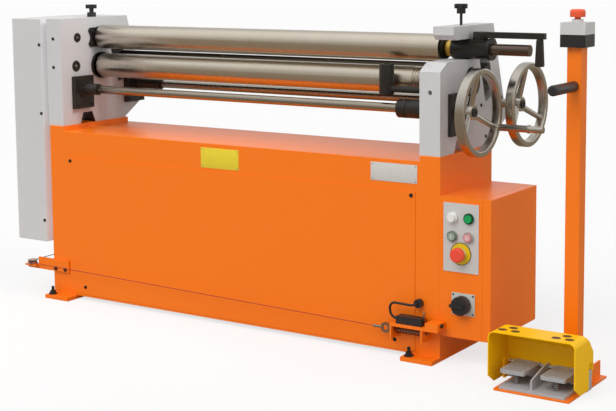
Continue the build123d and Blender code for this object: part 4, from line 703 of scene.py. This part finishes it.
turned("stop_disc_rim", disc_rim, stop_seat, to_front, black_plastic, "machine", 48)
on_face, off_face = face_middle("on_button"), face_middle("off_button")
mark_half = Vector((0.0011, 0.0004, 0.0048))
on_low, on_high = on_face - mark_half, on_face + mark_half
slab("on_mark", on_low, on_high, lamp_white, "on_button_body", 0.0002)
ring_inside, ring_outside, ring_foot = 0.0036, 0.0052, -0.0002
ring_mark = [
    (ring_inside, ring_foot),
    (ring_inside, mark_half.y),
    (ring_outside, mark_half.y),
    (ring_outside, ring_foot),
]
turned("off_mark", ring_mark, [off_face], to_front, lamp_white, "off_button_body")

# The main switch is a black round plastic knob with a pointer. It turns on a square pale plastic plate,
# which four small black screws hold to the cabinet's front.
dress("main_switch_knob", black_plastic, 0.0008)
button_grey = plastic("button_grey", (0.50, 0.51, 0.49), 0.34)
switch_thickness = 0.0018
switch_front = base_front - switch_thickness
switch_low = Vector((0.7965, switch_front, 0.143))
switch_high = Vector((0.8665, base_front + plate_sunk, 0.204))
slab("switch_plate", switch_low, switch_high, button_grey, "machine")
plate_screws = [
    (x, switch_front, z)
    for x in (switch_low.x + rivet_inset, switch_high.x - rivet_inset)
    for z in (switch_low.z + rivet_inset, switch_high.z - rivet_inset)
]
black_fasteners("switch_screws", socket_screw(0.0026, 0.0014), plate_screws, to_front, 16)

# The motor and its reducer stand hidden inside the base, and the contactors' plate inside the cabinet. They
# have plain shop finishes.
aluminium = brushed("brushed_aluminium", aluminium_light, aluminium_dark, 0.36, 0.3)
dress("contactor_plate", aluminium)
dress("drive_motor", blackened)
dress("gear_reducer", blackened)

# The kick wire runs along the front at shin height, round a pulley at the left corner and back to the rear.
# It is a red coated wire with a bright eye at its right end, and orange brackets carry it at the left.
wire_red = plastic("wire_red", (0.42, 0.04, 0.02), 0.4)
dress("trip_wire", wire_red)
dress("trip_pulley", shaft_steel, 0.0004)
dress("left_brackets", orange, 0.0006)
dress("trip_eye", shaft_steel)
bracket_face, left_bolt_height = -0.1635, 0.094
left_bolts = [(x, bracket_face, left_bolt_height) for x in (-0.6794, -0.6373)]
hexagon = [(0, 0.0052), (0.0055, 0.0052), (0.0068, 0.0044), (0.0068, -foot_sunk)]
black_fasteners("left_bracket_bolts", hexagon, left_bolts, to_front, 6)

# A bracket at the right holds the spring that keeps the wire tight, and a small black switch whose lever
# feels the wire move. Its lead loops back into a black gland on the base.
dress("right_bracket", orange, 0.0006)
coil_steps, coil_sides = 18, 8


def coil(name, start, end, radius, wire, turns, finish):
    """A spring of round wire, wound from start to end."""
    along = Vector(end) - Vector(start)
    ahead = along.normalized()
    aside = ahead.orthogonal().normalized()
    upward = ahead.cross(aside)
    form = bmesh.new()
    hoops = []
    for step in range(turns * coil_steps + 1):
        angle = 2 * math.pi * step / coil_steps
        out = aside * math.cos(angle) + upward * math.sin(angle)
        middle = Vector(start) + along * step / (turns * coil_steps) + out * radius
        hoop = []
        for side in range(coil_sides):
            round_wire = 2 * math.pi * side / coil_sides
            aslant = out * math.cos(round_wire) + ahead * math.sin(round_wire)
            hoop.append(form.verts.new(middle + wire * aslant))
        hoops.append(hoop)
    for first, second in zip(hoops, hoops[1:]):
        for side in range(coil_sides):
            after = (side + 1) % coil_sides
            form.faces.new((first[side], first[after], second[after], second[side]))
    form.faces.new(hoops[0])
    form.faces.new(hoops[-1])
    return settle(name, form, finish, "machine")


spring_low, spring_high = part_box("trip_spring")
spring_wire, spring_turns, trip_travel = 0.001, 9, 0.005
spring_middle = (spring_low + spring_high) / 2
spring_radius = (spring_high.z - spring_low.z) / 2 - spring_wire
spring_start = (spring_low.x + spring_wire, spring_middle.y, spring_middle.z)
spring_end = (spring_high.x - spring_wire, spring_middle.y, spring_middle.z)
tight_coil = coil(
    "tight_coil",
    spring_start,
    spring_end,
    spring_radius,
    spring_wire,
    spring_turns,
    blackened,
)
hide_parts("trip_spring")
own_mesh(tight_coil)
dress("limit_switch", black_plastic, 0.0008)
dress("switch_lever", shaft_steel)
dress("switch_lead", black_plastic)
bracket_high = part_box("right_bracket")[1]
right_bolt_y, right_bolt_height = -0.184, 0.111
right_bolts = [(bracket_high.x, right_bolt_y, right_bolt_height)]
black_fasteners("right_bracket_bolt", hexagon, right_bolts, to_right, 6)

# The pedal stand is a loose steel plate with a square column, bolted through a channel. The column carries a
# bar to hold and a two-tone switch box with a red mushroom on top.
dress("stand_base", orange, 0.0012)
dress("stand_column", orange, 0.0012)
dress("stand_grip", black_plastic, 0.0010)
stand_red = plastic("stand_red", (0.88, 0.115, 0.04))
dress("stand_mushroom", stand_red, 0.0010)


def two_tone(name, low_colour, high_colour, edge, axis=2):
    finish, make, shader = coat(name)
    place = make.node("ShaderNodeTexCoord", out="Object")
    haze = make.node("ShaderNodeTexNoise", Vector=place, Scale=90.0, Detail=3.0)
    above = make.node("ShaderNodeSeparateXYZ", out=axis, Vector=place) > edge
    make.feed(shader, "Base Color", above.blend(low_colour, high_colour))
    make.feed(shader, "Roughness", 0.34 + haze * 0.08)
    return finish


box_parting = 0.911
switch_box = two_tone("two_tone_box", (0.02, 0.02, 0.02), (0.56, 0.56, 0.55), box_parting)
dress("stand_switch_box", switch_box, 0.0012)

# The foot switch has two grey ribbed pedals on a grey cast base with a yellow cheek at the left, each over a
# bright coil spring, under a yellow sheet hood. Dark oval patches in the hood's holes are painted shade, and
# its rear wall has a folded lip and a flap at the left.
guard_yellow = powder_coat("yellow_hood", (0.98, 0.555, 0.002), (0.92, 0.50, 0.001), 0.34, 0.2)
pedal_grey = plastic("pedal_grey", (0.38, 0.38, 0.39), 0.45)
dress("pedal_guard", guard_yellow)
hood_low, hood_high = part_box("pedal_guard")
cheek_width = 0.011
left_cheek_edge = hood_low.x + cheek_width
base_finish = two_tone("foot_base_grey", (0.94, 0.52, 0.002), (0.40, 0.40, 0.41), left_cheek_edge, 0)
dress("pedal_base", base_finish, 0.0008)
hood_wall, rear_edge, notch_depth, notch_top = 0.0025, 0.058, 0.028, 0.08
lip_low, lip_gap = 0.034, 0.0004
rear_lip_low = (hood_low.x + hood_wall, hood_high.y - hood_wall + lip_gap, lip_low)
rear_lip_high = (hood_high.x - hood_wall, hood_high.y - lip_gap, rear_edge)
slab("hood_rear_lip", rear_lip_low, rear_lip_high, guard_yellow, "machine")
flap_low = (hood_low.x + lip_gap, hood_high.y - notch_depth, lip_low)
flap_high = (hood_low.x + hood_wall - lip_gap, hood_high.y - hood_wall, notch_top)
slab("hood_left_flap", flap_low, flap_high, guard_yellow, "machine")
patch_half, patch_radius, patch_rise, patch_steps = 0.0022, 0.0098, 0.0004, 16
patch_inset, patch_front, patch_step, patch_spread = 0.046, 0.03, 0.028, 0.018
# Flat dark oval patches fill the hood's holes as painted shade seen through them.
hole_shade_finish = plastic("hole_painted_shade", (0.10, 0.055, 0.012), 0.5)


def oval_shade_patch(form, middle):
    """Add one flat dark oval patch of painted shade, closed all round."""
    rims = []
    for height in (patch_rise, -foot_sunk):
        rim = []
        for step in range(2 * patch_steps):
            angle = math.pi * (step + 0.5) / patch_steps - math.pi / 2
            end = patch_half if math.cos(angle) > 0 else -patch_half
            out = Vector((end + patch_radius * math.cos(angle), patch_radius * math.sin(angle), height))
            rim.append(form.verts.new(middle + out))
        form.faces.new(rim)
        rims.append(rim)
    for step, point in enumerate(rims[0]):
        form.faces.new((rims[0][step - 1], point, rims[1][step], rims[1][step - 1]))


hole_shades = bmesh.new()
for x in (hood_low.x + patch_inset, hood_high.x - patch_inset):
    for aside, back in ((-patch_spread, 0), (patch_spread, 0), (0, patch_step)):
        oval_shade_patch(hole_shades, Vector((x + aside, hood_low.y + patch_front + back, hood_high.z)))
settle("hood_hole_shade_patches", hole_shades, hole_shade_finish, "machine")
rib_count, rib_height, rib_width, rib_length = 7, 0.0012, 0.0045, 0.08
rib_inset, rib_middle, tread_top = 0.007, 0.048, 0.054
base_top, tread_under, spring_y = 0.014, 0.044, -0.258
coil_radius, coil_wire, coil_turns, spring_kept = 0.0075, 0.0011, 5, 0.65
for side in ("left", "right"):
    dress(f"{side}_pedal", pedal_grey, 0.0010)
    tread_low, tread_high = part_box(f"{side}_pedal")
    ribs = bmesh.new()
    for rib in range(rib_count):
        x = tread_low.x + rib_inset + (tread_high.x - tread_low.x - 2 * rib_inset) * rib / (rib_count - 1)
        middle = Vector((x, tread_low.y + rib_middle, tread_top))
        made = bmesh.ops.create_cube(ribs, size=1.0)
        for vert in made["verts"]:
            corner = (vert.co.x * rib_width, vert.co.y * rib_length, vert.co.z * rib_height * 2)
            vert.co = middle + Vector(corner)
    settle(f"{side}_pedal_ribs", ribs, pedal_grey, f"{side}_pedal_body")
    spring_x = (tread_low.x + tread_high.x) / 2
    spring_foot = (spring_x, spring_y, base_top + coil_wire)
    spring_head = (spring_x, spring_y, tread_under - coil_wire)
    spring = coil(
        f"{side}_pedal_spring",
        spring_foot,
        spring_head,
        coil_radius,
        coil_wire,
        coil_turns,
        rivet_steel,
    )
    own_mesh(spring)

low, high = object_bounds()
